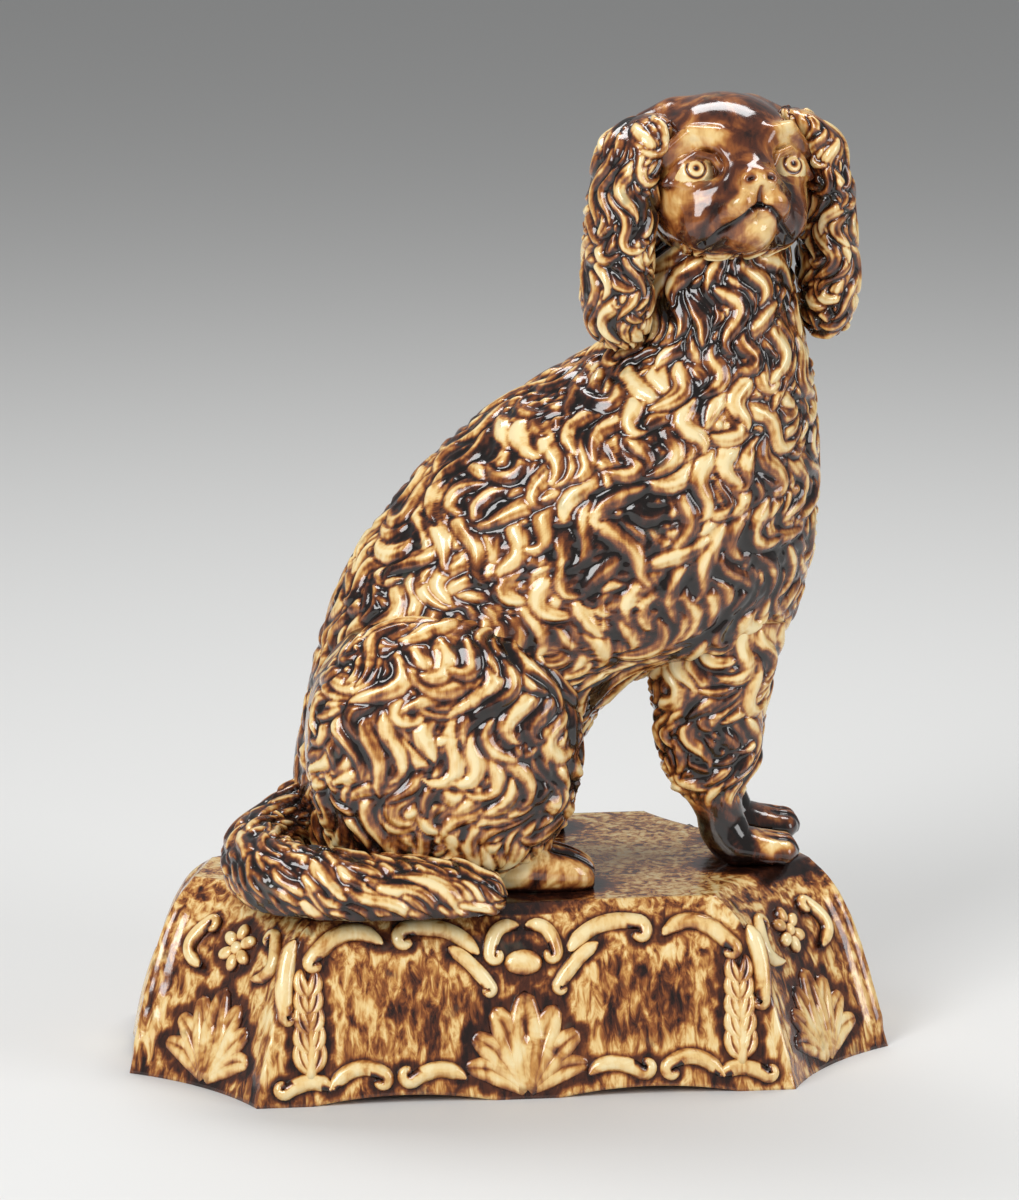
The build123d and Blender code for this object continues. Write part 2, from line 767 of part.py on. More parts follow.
PIECES = [
    plinth_shell.part,
    body_right_half.part,
    body_left_half.part,
    head_face.part,
    head_back.part,
    right_ear.part,
    left_ear.part,
    right_foreleg.part,
    left_foreleg.part,
    right_haunch.part,
    left_haunch.part,
    right_hind_paw,
    left_hind_paw,
    tail.part,
    centre_leaves.part,
    centre_cabochons.part,
    hood_scrolls.part,
    arch_scrolls.part,
    foot_scrolls.part,
    side_fronds.part,
    corner_leaves.part,
    corner_flowers.part,
    corner_scrolls.part,
    end_leaves.part,
]

os.makedirs("parts", exist_ok=True)
for piece in PIECES:
    export_step(piece, f"parts/{piece.label}.step")
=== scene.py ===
# %% [markdown]
# # A glazed pottery spaniel
#
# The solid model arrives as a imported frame: every clay section of the figure is a node, in metres, with the
# plinth's foot at the origin. This lesson dresses those sections. Each visible piece stands for its node, keeps
# the node's place and size, and adds what the potter's mould had: curls, a face, leaves and scrolls.

# %% Load the frame
import math

import bpy
import numpy as np
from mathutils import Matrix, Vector


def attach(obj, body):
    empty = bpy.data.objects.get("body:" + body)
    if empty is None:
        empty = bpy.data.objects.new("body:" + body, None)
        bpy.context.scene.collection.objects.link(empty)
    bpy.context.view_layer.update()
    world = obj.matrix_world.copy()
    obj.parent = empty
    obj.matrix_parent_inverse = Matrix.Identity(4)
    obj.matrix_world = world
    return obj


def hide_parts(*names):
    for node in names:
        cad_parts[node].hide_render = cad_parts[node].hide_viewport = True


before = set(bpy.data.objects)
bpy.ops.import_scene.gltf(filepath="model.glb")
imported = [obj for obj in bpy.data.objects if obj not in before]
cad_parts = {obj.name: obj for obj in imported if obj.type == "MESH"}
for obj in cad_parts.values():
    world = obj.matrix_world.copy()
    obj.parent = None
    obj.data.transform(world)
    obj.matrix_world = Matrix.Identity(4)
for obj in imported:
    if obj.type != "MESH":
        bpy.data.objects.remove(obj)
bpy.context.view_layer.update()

MM = 0.001
TABLE = 51.0

# %% [markdown]
# ## Camera
#
# The camera was worked out from the plinth's corners in the photograph: a long lens, a little to the left and a
# little above. A long lens keeps the plinth's edges nearly parallel, as they are in the picture.

# %% Camera
camera_data = bpy.data.cameras.new("view")
camera_data.sensor_fit = "VERTICAL"
camera_data.sensor_height = 36.0
camera_data.lens = 166.6
camera_data.clip_end = 20.0
camera = bpy.data.objects.new("view", camera_data)
bpy.context.scene.collection.objects.link(camera)
camera.location = (-0.18007, -1.52343, 0.46822)
aim = Vector((0.00294, 0.0, 0.12637)) - camera.location
camera.rotation_euler = aim.to_track_quat("-Z", "Y").to_euler()
bpy.context.scene.camera = camera
bpy.context.scene.view_settings.view_transform = "Standard"
print("camera looks down", round(math.degrees(math.asin(-aim.z / aim.length)), 2), "degrees")

# %% [markdown]
# ## Floor and lamps
#
# Glaze is known by its reflections. One large soft lamp on the left, a weaker one on the right and a strip from
# behind give it the broad white shapes that it has in a studio, over a flat pale floor.


# %% Floor and lamps
def soft_lamp(name, place, target, width, height, power):
    """A rectangular lamp that points at a target."""
    data = bpy.data.lights.new(name, "AREA")
    data.shape = "RECTANGLE"
    data.size, data.size_y, data.energy = width, height, power
    lamp = bpy.data.objects.new(name, data)
    lamp.location = place
    lamp.rotation_euler = (Vector(target) - Vector(place)).to_track_quat("-Z", "Y").to_euler()
    bpy.context.scene.collection.objects.link(lamp)
    return lamp


soft_lamp("key_softbox", (-0.85, -0.95, 0.95), (0.0, 0.0, 0.13), 0.7, 0.9, 17.0)
soft_lamp("fill_softbox", (1.05, -0.7, 0.6), (0.0, 0.0, 0.12), 0.5, 0.8, 6.0)
soft_lamp("top_strip", (0.15, 0.45, 1.15), (0.0, 0.0, 0.15), 0.9, 0.35, 8.0)

world = bpy.data.worlds.new("studio")
bpy.context.scene.world = world
world.use_nodes = True
world.node_tree.nodes["Background"].inputs["Color"].default_value = (0.78, 0.79, 0.80, 1.0)
world.node_tree.nodes["Background"].inputs["Strength"].default_value = 0.34

floor_mesh = bpy.data.meshes.new("floor")
floor_mesh.from_pydata([(-7, -7, 0), (7, -7, 0), (7, 7, 0), (-7, 7, 0)], [], [(0, 1, 2, 3)])
floor = bpy.data.objects.new("floor", floor_mesh)
bpy.context.scene.collection.objects.link(floor)
floor_paint = bpy.data.materials.new("pale_floor")
floor_paint.use_nodes = True
floor_paint.node_tree.nodes["Principled BSDF"].inputs["Base Color"].default_value = (0.72, 0.72, 0.71, 1.0)
floor_paint.node_tree.nodes["Principled BSDF"].inputs["Roughness"].default_value = 0.75
floor_mesh.materials.append(floor_paint)
print("floor and three lamps")

# %% [markdown]
# ## The glaze
#
# A brown lead glaze runs while it melts: it thins to cream on the crests of the modelling and pools to nearly
# black in the grooves, with flecks and runs between. Each mesh therefore carries a colour attribute called
# glaze: red says how thin the glaze lies there, green is a chance value for each lock of hair, and blue darkens
# a place, both where glaze pools and where contact shade is painted along the feet and the table. One node group
# reads these, adds noise that is stretched downwards as runs are, and sends the sum through a ramp of glaze
# colours. Each material sets its own amounts.


# %% Node helpers
def new_node(tree, kind, place, **values):
    """A node with some of its settings or inputs given by name."""
    node = tree.nodes.new(kind)
    node.location = place
    for key, value in values.items():
        if hasattr(node, key):
            setattr(node, key, value)
        else:
            node.inputs[key].default_value = value
    return node


def add_math(tree, operation, first, second, place, clamp=False):
    """A Math node between two sockets or numbers."""
    node = new_node(tree, "ShaderNodeMath", place, operation=operation, use_clamp=clamp)
    for socket, value in zip(node.inputs, (first, second)):
        if isinstance(value, (int, float)):
            socket.default_value = value
        else:
            tree.links.new(value, socket)
    return node.outputs[0]


print("node helpers ready")

# %% [markdown]
# ### One group for every glaze
#
# The ramp runs from nearly black, where the melt pooled, through chestnut and amber to cream. Every material sends
# its own amounts into the same group, so the dog and the plinth look dipped in one bucket.

# %% Glaze group
GLAZE_RAMP = [
    (0.00, (0.006, 0.003, 0.002)),
    (0.17, (0.020, 0.007, 0.005)),
    (0.34, (0.100, 0.026, 0.010)),
    (0.48, (0.290, 0.090, 0.022)),
    (0.62, (0.580, 0.280, 0.075)),
    (0.76, (0.830, 0.570, 0.235)),
    (1.00, (0.915, 0.750, 0.420)),
]


def mottled_glaze_group():
    """Colour of a running brown glaze from how thin it lies."""
    tree = bpy.data.node_groups.new("mottled_glaze", "ShaderNodeTree")
    for label, kind, value in (
        ("Thin", "NodeSocketFloat", 0.5),
        ("Lock", "NodeSocketFloat", 0.5),
        ("Pool And Shade", "NodeSocketFloat", 0.0),
        ("Coordinates", "NodeSocketVector", None),
        ("Blotch Scale", "NodeSocketFloat", 70.0),
        ("Blotch", "NodeSocketFloat", 0.5),
        ("Run Scale", "NodeSocketFloat", 260.0),
        ("Run", "NodeSocketFloat", 0.3),
        ("Lock Change", "NodeSocketFloat", 0.2),
        ("Lift", "NodeSocketFloat", 0.0),
    ):
        socket = tree.interface.new_socket(label, in_out="INPUT", socket_type=kind)
        if value is not None:
            socket.default_value = value
    tree.interface.new_socket("Color", in_out="OUTPUT", socket_type="NodeSocketColor")
    tree.interface.new_socket("Roughness", in_out="OUTPUT", socket_type="NodeSocketFloat")
    tree.interface.new_socket("Height", in_out="OUTPUT", socket_type="NodeSocketFloat")
    given = new_node(tree, "NodeGroupInput", (-1400, 0))
    taken = new_node(tree, "NodeGroupOutput", (900, 0))
    link = tree.links.new

    blotch = new_node(tree, "ShaderNodeTexNoise", (-1000, 300), Detail=3.0, Roughness=0.55, Distortion=0.8)
    link(given.outputs["Coordinates"], blotch.inputs["Vector"])
    link(given.outputs["Blotch Scale"], blotch.inputs["Scale"])
    stretch = new_node(tree, "ShaderNodeMapping", (-1200, -100))
    stretch.inputs["Scale"].default_value = (1.0, 1.0, 0.2)
    link(given.outputs["Coordinates"], stretch.inputs["Vector"])
    run = new_node(tree, "ShaderNodeTexNoise", (-1000, -100), Detail=4.0, Roughness=0.6, Distortion=0.5)
    link(stretch.outputs["Vector"], run.inputs["Vector"])
    link(given.outputs["Run Scale"], run.inputs["Scale"])

    def share(value, amount, y):
        """How far a value lies from its middle, times its amount."""
        off_middle = add_math(tree, "SUBTRACT", value, 0.5, (-800, y))
        return add_math(tree, "MULTIPLY", off_middle, given.outputs[amount], (-640, y))

    noise_sum = add_math(
        tree, "ADD", share(blotch.outputs["Fac"], "Blotch", 300), share(run.outputs["Fac"], "Run", -100), (-460, 100)
    )
    noise_sum = add_math(tree, "ADD", noise_sum, share(given.outputs["Lock"], "Lock Change", -300), (-300, 0))
    thin = add_math(tree, "ADD", given.outputs["Thin"], given.outputs["Lift"], (-460, 400))
    thin = add_math(tree, "ADD", thin, noise_sum, (-140, 200))
    # The pool-and-shade channel darkens both glaze pools and painted contact shade.
    keep = add_math(tree, "SUBTRACT", 1.0, given.outputs["Pool And Shade"], (-300, -300), clamp=True)
    thin = add_math(tree, "MULTIPLY", thin, keep, (20, 150), clamp=True)

    ramp = new_node(tree, "ShaderNodeValToRGB", (180, 150))
    ramp.color_ramp.interpolation = "LINEAR"
    while len(ramp.color_ramp.elements) < len(GLAZE_RAMP):
        ramp.color_ramp.elements.new(0.5)
    for element, (place, colour) in zip(ramp.color_ramp.elements, GLAZE_RAMP):
        element.position = place
        element.color = (*colour, 1.0)
    link(thin, ramp.inputs["Fac"])

    fleck = new_node(tree, "ShaderNodeTexNoise", (-460, -500), Detail=2.0, Scale=120.0)
    link(given.outputs["Coordinates"], fleck.inputs["Vector"])
    fleck_mask = new_node(tree, "ShaderNodeMapRange", (-260, -500))
    for label, value in (("From Min", 0.66), ("From Max", 0.76), ("To Min", 0.0), ("To Max", 0.4)):
        fleck_mask.inputs[label].default_value = value
    link(fleck.outputs["Fac"], fleck_mask.inputs["Value"])
    tinted = new_node(tree, "ShaderNodeMix", (480, 150), data_type="RGBA")
    tinted.inputs["B"].default_value = (0.085, 0.10, 0.075, 1.0)
    link(fleck_mask.outputs["Result"], tinted.inputs["Factor"])
    link(ramp.outputs["Color"], tinted.inputs["A"])
    link(tinted.outputs["Result"], taken.inputs["Color"])

    rough = new_node(tree, "ShaderNodeMapRange", (480, -150))
    rough.inputs["To Min"].default_value = 0.07
    rough.inputs["To Max"].default_value = 0.16
    link(run.outputs["Fac"], rough.inputs["Value"])
    link(rough.outputs["Result"], taken.inputs["Roughness"])
    link(noise_sum, taken.inputs["Height"])
    return tree


glaze_group = mottled_glaze_group()
print("glaze group with", len(GLAZE_RAMP), "colours")

# %% [markdown]
# ### The four glazes
#
# Coat, face, plinth and sprigs differ in how large the blotches are and how far the glaze ran. The gloss is a
# plain Principled shader with a thin clear coat, set on the shader's own sockets.


# %% Glaze materials
def glaze_material(name, **amounts):
    """A glossy glaze that reads its mesh's glaze attribute and object coordinates."""
    material = bpy.data.materials.new(name)
    material.use_nodes = True
    tree = material.node_tree
    shader = tree.nodes["Principled BSDF"]
    shader.inputs["IOR"].default_value = 1.55
    shader.inputs["Coat Weight"].default_value = 0.35
    shader.inputs["Coat Roughness"].default_value = 0.05
    paint = new_node(tree, "ShaderNodeAttribute", (-900, 0), attribute_name="glaze")
    parts = new_node(tree, "ShaderNodeSeparateColor", (-700, 0))
    place = new_node(tree, "ShaderNodeTexCoord", (-900, -300))
    glaze = new_node(tree, "ShaderNodeGroup", (-450, 0), node_tree=glaze_group)
    for label, value in amounts.items():
        glaze.inputs[label.replace("_", " ").title()].default_value = value
    tree.links.new(paint.outputs["Color"], parts.inputs["Color"])
    tree.links.new(parts.outputs["Red"], glaze.inputs["Thin"])
    tree.links.new(parts.outputs["Green"], glaze.inputs["Lock"])
    tree.links.new(parts.outputs["Blue"], glaze.inputs["Pool And Shade"])
    tree.links.new(place.outputs["Object"], glaze.inputs["Coordinates"])
    bump = new_node(tree, "ShaderNodeBump", (-200, -250), Strength=0.12, Distance=0.0008)
    tree.links.new(glaze.outputs["Height"], bump.inputs["Height"])
    tree.links.new(glaze.outputs["Color"], shader.inputs["Base Color"])
    tree.links.new(glaze.outputs["Roughness"], shader.inputs["Roughness"])
    tree.links.new(bump.outputs["Normal"], shader.inputs["Normal"])
    return material


fur_glaze = glaze_material("fur_glaze", blotch=1.9, run=0.9, lock_change=0.4, lift=-0.19, blotch_scale=72.0)
face_glaze = glaze_material("face_glaze", blotch=0.95, run=0.45, lock_change=0.2, blotch_scale=120.0)
plinth_glaze = glaze_material(
    "plinth_glaze", blotch=0.9, run=1.7, run_scale=400.0, lock_change=0.0, blotch_scale=55.0
)
sprig_glaze = glaze_material("sprig_glaze", blotch=1.2, run=0.8, lock_change=0.0, lift=-0.06, blotch_scale=110.0)
print("glaze materials", 4)

# %% [markdown]
# ## Surfaces as grids
#
# Every section of the dog is a skin over a few oval slices, so each is laid out as a grid of points: rows along
# the piece, columns round it. A grid is easy to push in and out along its normals, and it always closes. The
# helpers here pass a smooth curve through the slices, find the normals, and turn a grid into a closed mesh whose
# faces point out.


# %% Curves and normals
def smooth_through(knots, values, at):
    """A smooth curve through values at knots, read at other places."""
    knots, values, at = np.asarray(knots, float), np.asarray(values, float), np.asarray(at, float)
    slope = np.gradient(values, knots, axis=0)
    k = np.clip(np.searchsorted(knots, at, side="right") - 1, 0, len(knots) - 2)
    shape = (-1,) + (1,) * (values.ndim - 1)
    gap = (knots[k + 1] - knots[k]).reshape(shape)
    t = ((at - knots[k]) / (knots[k + 1] - knots[k])).reshape(shape)
    return (
        (2 * t**3 - 3 * t**2 + 1) * values[k]
        + (t**3 - 2 * t**2 + t) * gap * slope[k]
        + (3 * t**2 - 2 * t**3) * values[k + 1]
        + (t**3 - t**2) * gap * slope[k + 1]
    )


def evenly(slices, weights, rows):
    """Slices read at even steps along the piece, measured in their weighted columns."""
    slices = np.array(slices, float)
    run = np.linalg.norm(np.diff(slices * weights, axis=0), axis=1)
    knots = np.concatenate([[0], np.cumsum(run)])
    return smooth_through(knots, slices, np.linspace(0, knots[-1], rows))


def once_round(columns):
    """Even angles round a ring."""
    return 2 * np.pi * np.arange(columns) / columns


def unit(vectors):
    """Vectors scaled to length one."""
    return vectors / (np.linalg.norm(vectors, axis=-1, keepdims=True) + 1e-12)


def steps_of(points, ring):
    """How the surface moves per row and per column."""
    down = np.gradient(points, axis=0)
    if ring:
        along = (np.roll(points, -1, axis=1) - np.roll(points, 1, axis=1)) / 2
    else:
        along = np.gradient(points, axis=1)
    return down, along


def normals_of(points, ring, centre):
    """Unit normals that point away from a middle point."""
    down, along = steps_of(points, ring)
    normal = unit(np.cross(along, down))
    away = ((points - centre) * normal).sum(-1)
    return normal if np.median(away) > 0 else -normal


def smoothstep(low, high, value):
    """Nought below low, one above high, and smooth between."""
    t = np.clip((value - low) / (high - low), 0, 1)
    return t * t * (3 - 2 * t)


def soften(field, passes, ring):
    """Blurs a grid of values a little, as glaze fills sharp corners."""
    for _ in range(passes):
        pad = np.concatenate([field[:1], field, field[-1:]])
        field = (pad[:-2] + 2 * pad[1:-1] + pad[2:]) / 4
        if ring:
            field = (np.roll(field, 1, 1) + 2 * field + np.roll(field, -1, 1)) / 4
        else:
            pad = np.concatenate([field[:, :1], field, field[:, -1:]], axis=1)
            field = (pad[:, :-2] + 2 * pad[:, 1:-1] + pad[:, 2:]) / 4
    return field


print("curves and normals ready")

# %% [markdown]
# ### Closed meshes
#
# A clay section has no open edge, and neither has its mesh. The signed volume of the faces tells whether they point
# out; if they don't, every face is turned round. Each mesh takes its glaze attribute at the same time.


# %% Closed meshes
def closed_mesh(name, points, faces, paint, material, normals=None):
    """A mesh from points in millimetres and rows of faces, turned so that its faces point out."""
    volume = 0.0
    for block in faces:
        a = points[block[:, 0]]
        for k in range(1, block.shape[1] - 1):
            volume += (a * np.cross(points[block[:, k]], points[block[:, k + 1]])).sum()
    if volume < 0:
        faces = [block[:, ::-1] for block in faces]
    mesh = bpy.data.meshes.new(name)
    corners = np.concatenate([block.ravel() for block in faces])
    sizes = np.concatenate([np.full(len(block), block.shape[1]) for block in faces])
    mesh.vertices.add(len(points))
    mesh.vertices.foreach_set("co", (points * MM).astype(np.float32).ravel())
    mesh.loops.add(len(corners))
    mesh.loops.foreach_set("vertex_index", corners.astype(np.int32))
    mesh.polygons.add(len(sizes))
    mesh.polygons.foreach_set("loop_start", np.concatenate([[0], np.cumsum(sizes)[:-1]]).astype(np.int32))
    mesh.update(calc_edges=True)
    mesh.validate()
    mesh.shade_smooth()
    layer = mesh.attributes.new("glaze", "FLOAT_COLOR", "POINT")
    colour = np.ones((len(points), 4), np.float32)
    colour[:, :3] = paint
    layer.data.foreach_set("color", colour.ravel())
    mesh.materials.append(material)
    if normals is not None:
        mesh.normals_split_custom_set_from_vertices(normals.tolist())
    piece = bpy.data.objects.new(name, mesh)
    bpy.context.scene.collection.objects.link(piece)
    return piece


def dress(piece, slot_name, *nodes):
    """Lets a finished piece stand for its nodes, on the figure's one body."""
    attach(piece, "root")
    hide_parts(*nodes)
    triangles = sum(len(face.vertices) - 2 for face in piece.data.polygons)
    print(piece.name, "triangles", triangles, "for", ", ".join(nodes))


print("closed meshes ready")

# %% [markdown]
# ### Closing a grid
#
# A limb or an ear is a ring grid whose two ends are drawn in to a point. The body and the head are cut in two down
# the middle, so each half gets a flat wall across the cut, as the two halves of a mould leave.


# %% Closing a grid
def grid_faces(rows, columns, ring):
    """Four-sided faces over a grid of points, joined round if it is a ring."""
    index = np.arange(rows * columns).reshape(rows, columns)
    if ring:
        index = np.concatenate([index, index[:, :1]], axis=1)
    return np.stack(
        [index[:-1, :-1], index[:-1, 1:], index[1:, 1:], index[1:, :-1]], axis=-1
    ).reshape(-1, 4)


def ring_piece(name, points, paint, material):
    """A closed piece from a ring grid, with its two ends drawn in to a point."""
    rows, columns = points.shape[:2]
    flat = np.concatenate([points.reshape(-1, 3), points[:1].mean(1), points[-1:].mean(1)])
    colour = np.concatenate([paint.reshape(-1, 3), paint[:1].mean(1), paint[-1:].mean(1)])
    ring = np.arange(columns)
    after = np.roll(ring, -1)
    first, last = rows * columns, rows * columns + 1
    end = (rows - 1) * columns
    caps = np.concatenate(
        [
            np.stack([after, ring, np.full(columns, first)], 1),
            np.stack([end + ring, end + after, np.full(columns, last)], 1),
        ]
    )
    return closed_mesh(name, flat, [grid_faces(rows, columns, True), caps], colour, material)


def half_piece(name, points, paint, normals, columns, material):
    """One half of a ring grid, closed by a wall between its two edges and by its ends."""
    part, tint, turn = points[:, columns], paint[:, columns], normals[:, columns]
    rows, count = part.shape[:2]
    flat = np.concatenate([part.reshape(-1, 3), part[:1].mean(1), part[-1:].mean(1)])
    colour = np.concatenate([tint.reshape(-1, 3), tint[:1].mean(1), tint[-1:].mean(1)])
    turned = np.concatenate([turn.reshape(-1, 3), unit(part[:1].mean(1) - part[1:2].mean(1)),
                             unit(part[-1:].mean(1) - part[-2:-1].mean(1))])
    index = np.arange(rows * count).reshape(rows, count)
    wall = np.stack([index[:-1, -1], index[:-1, 0], index[1:, 0], index[1:, -1]], -1)
    caps = []
    for row, middle, flip in ((index[0], rows * count, 1), (index[-1], rows * count + 1, -1)):
        loop = np.concatenate([row, row[:1]])
        caps.append(np.stack([loop[1:], loop[:-1], np.full(count, middle)], -1)[:, ::flip])
    return closed_mesh(
        name, flat, [grid_faces(rows, count, False), wall, np.concatenate(caps)], colour, material, turned
    )


print("ways to close a grid ready")

# %% [markdown]
# ## Locks of hair
#
# The mould-maker cut the coat as separate locks, each a tapering S or hooked C that lies over the next one
# below. The same is done here. Seeds are scattered evenly over a surface, each grows a path that swings from side
# to side of the coat's flow, and the locks are laid from the bottom upwards: inside a lock the surface takes the
# lock's rounded height, and just outside it a narrow moat is cut, where glaze will pool.


# %% Scattered seeds
def scatter(points, weight, spacing, rng):
    """Grid cells picked evenly over the surface, no two closer than the spacing."""
    down, along = steps_of(points, False)
    area = np.linalg.norm(np.cross(along, down), axis=-1) * weight
    area[[0, -1], :] = 0
    total = area.sum()
    tries = int(total / spacing**2 * 9)
    picks = rng.choice(area.size, size=tries, p=(area / total).ravel())
    kept, cells = [], {}
    flat = points.reshape(-1, 3)
    for pick in picks:
        spot = flat[pick]
        cell = tuple((spot // spacing).astype(int))
        near = (
            other
            for dx in (-1, 0, 1)
            for dy in (-1, 0, 1)
            for dz in (-1, 0, 1)
            for other in cells.get((cell[0] + dx, cell[1] + dy, cell[2] + dz), ())
        )
        if all(((flat[other] - spot) ** 2).sum() > spacing**2 for other in near):
            cells.setdefault(cell, []).append(pick)
            kept.append(pick)
    return np.array(kept)


print("seeds can be scattered")

# %% [markdown]
# ### Measuring on the skin
#
# A lock's path is kept in rows and columns of its grid, so it never leaves the skin. Two measures are needed: the
# place in space of a spot between grid points, and the distance of the skin round a lock from the lock's path.


# %% Measures on the skin
def read_grid(field, i, j, ring):
    """Values of a grid between its points."""
    rows, columns = field.shape[:2]
    i = np.clip(i, 0, rows - 1.001)
    j = np.mod(j, columns) if ring else np.clip(j, 0, columns - 1.001)
    i0, j0 = np.floor(i).astype(int), np.floor(j).astype(int)
    j1 = (j0 + 1) % columns
    a, b = (i - i0)[..., None], (j - j0)[..., None]
    return (
        field[i0, j0] * (1 - a) * (1 - b)
        + field[i0 + 1, j0] * a * (1 - b)
        + field[i0, j1] * (1 - a) * b
        + field[i0 + 1, j1] * a * b
    )


def distance_to_path(spots, path, facing=None):
    """Distance of each spot from a path of short straight steps, and how far along it the nearest point is.

    With a facing direction the distance has a sign, which tells the path's two sides apart.
    """
    start, step = path[:-1], np.diff(path, axis=0)
    rel = spots[:, None, :] - start[None]
    t = np.clip((rel * step).sum(-1) / ((step * step).sum(-1) + 1e-9), 0, 1)
    gap = ((rel - t[..., None] * step) ** 2).sum(-1)
    best = gap.argmin(1)
    rows = np.arange(len(spots))
    away = np.sqrt(gap[rows, best])
    if facing is not None:
        ahead = np.gradient(path, axis=0)
        part = t[rows, best][:, None]
        ahead = ahead[best] * (1 - part) + ahead[best + 1] * part
        beside = rel[rows, best] - part * step[best]
        away = away * np.where((np.cross(ahead, beside) * facing).sum(-1) < 0, -1, 1)
    return away, (best + t[rows, best]) / len(step)


print("measures ready")

# %% [markdown]
# ### Growing a lock
#
# Neighbouring locks on a real coat wave together, so the side to which a lock swings depends on how far down the
# coat it lies, with a slow drift over the body. About half of the locks turn in to a hook at the tip.


# %% Growing locks
LOCK_STEPS = 15


def grow_locks(points, normal, ring, flow, seeds, slant, is_main, rng, seed, length, swing, hook, wave):
    """Every lock's path over the skin, in rows and columns. A wave of 90 or more gives each its own rhythm."""
    rows, columns = points.shape[:2]
    down, along = steps_of(points, ring)
    count = len(seeds)
    i, j = (seeds // columns).astype(float), (seeds % columns).astype(float)
    stride = length * rng.uniform(0.75, 1.3, count) / (LOCK_STEPS - 1)
    phase = rng.uniform(0, 2 * np.pi, count)
    waves = rng.uniform(0.75, 1.2, count)
    swing = np.radians(swing) * rng.uniform(0.8, 1.15, count)
    curl = np.where(rng.random(count) < hook, rng.choice([-1, 1], count) * rng.uniform(1.2, 2.8, count), 0)
    track = np.zeros((count, LOCK_STEPS, 2))

    def advance(i, j, t, distance):
        """One step of every path."""
        ii = np.clip(np.rint(i).astype(int), 0, rows - 1)
        jj = np.rint(j).astype(int) % columns if ring else np.clip(np.rint(j).astype(int), 0, columns - 1)
        n, a, b, spot = normal[ii, jj], down[ii, jj], along[ii, jj], points[ii, jj]
        f = flow(spot)
        fall = (spot * f).sum(-1)
        f = unit(f - (f * n).sum(-1, keepdims=True) * n)
        drift = 1.5 * np.sin(spot @ [0.045, 0.06, 0.02] + seed)
        drift = drift + 1.2 * np.sin(spot @ [-0.03, 0.05, 0.05] + 2 * seed)
        together = np.sin(2 * np.pi * fall / wave + drift)
        turn = swing * (together if wave < 90 else np.sin(2 * np.pi * waves * t + phase)) + curl * t**2
        turn = np.where(is_main, 0.5 * slant + turn, turn)
        heading = np.cos(turn)[:, None] * f + np.sin(turn)[:, None] * np.cross(n, f)
        aa, bb, ab = (a * a).sum(-1), (b * b).sum(-1), (a * b).sum(-1)
        ha, hb = (a * heading).sum(-1), (b * heading).sum(-1)
        det = aa * bb - ab**2 + 1e-9
        i = i + np.clip(distance * (ha * bb - hb * ab) / det, -6, 6)
        return i, j + np.clip(distance * (hb * aa - ha * ab) / det, -6, 6)

    for k in range(LOCK_STEPS // 2, 0, -1):
        i, j = advance(i, j, k / (LOCK_STEPS - 1), np.where(is_main, -stride, 0))
    for k in range(LOCK_STEPS):
        track[:, k, 0], track[:, k, 1] = i, j
        i, j = advance(i, j, k / (LOCK_STEPS - 1), stride)
    return track


def window_of(trail, reach, cell_i, cell_j, ring):
    """The rows and columns that a lock may touch, and a cell under the lock."""
    rows, columns = cell_i.shape
    mid_i = np.clip(np.rint(trail[::5, 0]).astype(int), 0, rows - 1)
    mid_j = np.rint(trail[::5, 1]).astype(int)
    mid_j = mid_j % columns if ring else np.clip(mid_j, 0, columns - 1)
    gap_i = int(min(reach / cell_i[mid_i, mid_j].min() + 2, rows))
    gap_j = int(min(reach / cell_j[mid_i, mid_j].min() + 2, columns // 3))
    i0, i1 = max(int(trail[:, 0].min()) - gap_i, 0), min(int(trail[:, 0].max()) + gap_i + 1, rows)
    j0, j1 = int(trail[:, 1].min()) - gap_j, int(trail[:, 1].max()) + gap_j + 1
    across = np.arange(j0, j1) % columns if ring else np.arange(max(j0, 0), min(j1, columns))
    return np.ix_(np.arange(i0, i1), across), (mid_i[1], mid_j[1])


print("locks can grow,", LOCK_STEPS, "places each")

# %% [markdown]
# ### Laying the locks
#
# A lock is widest before its middle and tapers to its tip, domed across, with a few strands combed into it. Locks
# are laid from the lowest up, so each one covers the roots of those below. The thin value follows the dome and the
# strands, which later turns crests cream and grooves dark. A last light blur is the glaze filling sharp corners.


# %% Laying locks
LOCK_ALONG, LOCK_WIDTH = (0, 0.12, 0.4, 0.7, 0.88, 1), (0.5, 0.9, 1, 0.78, 0.5, 0.14)


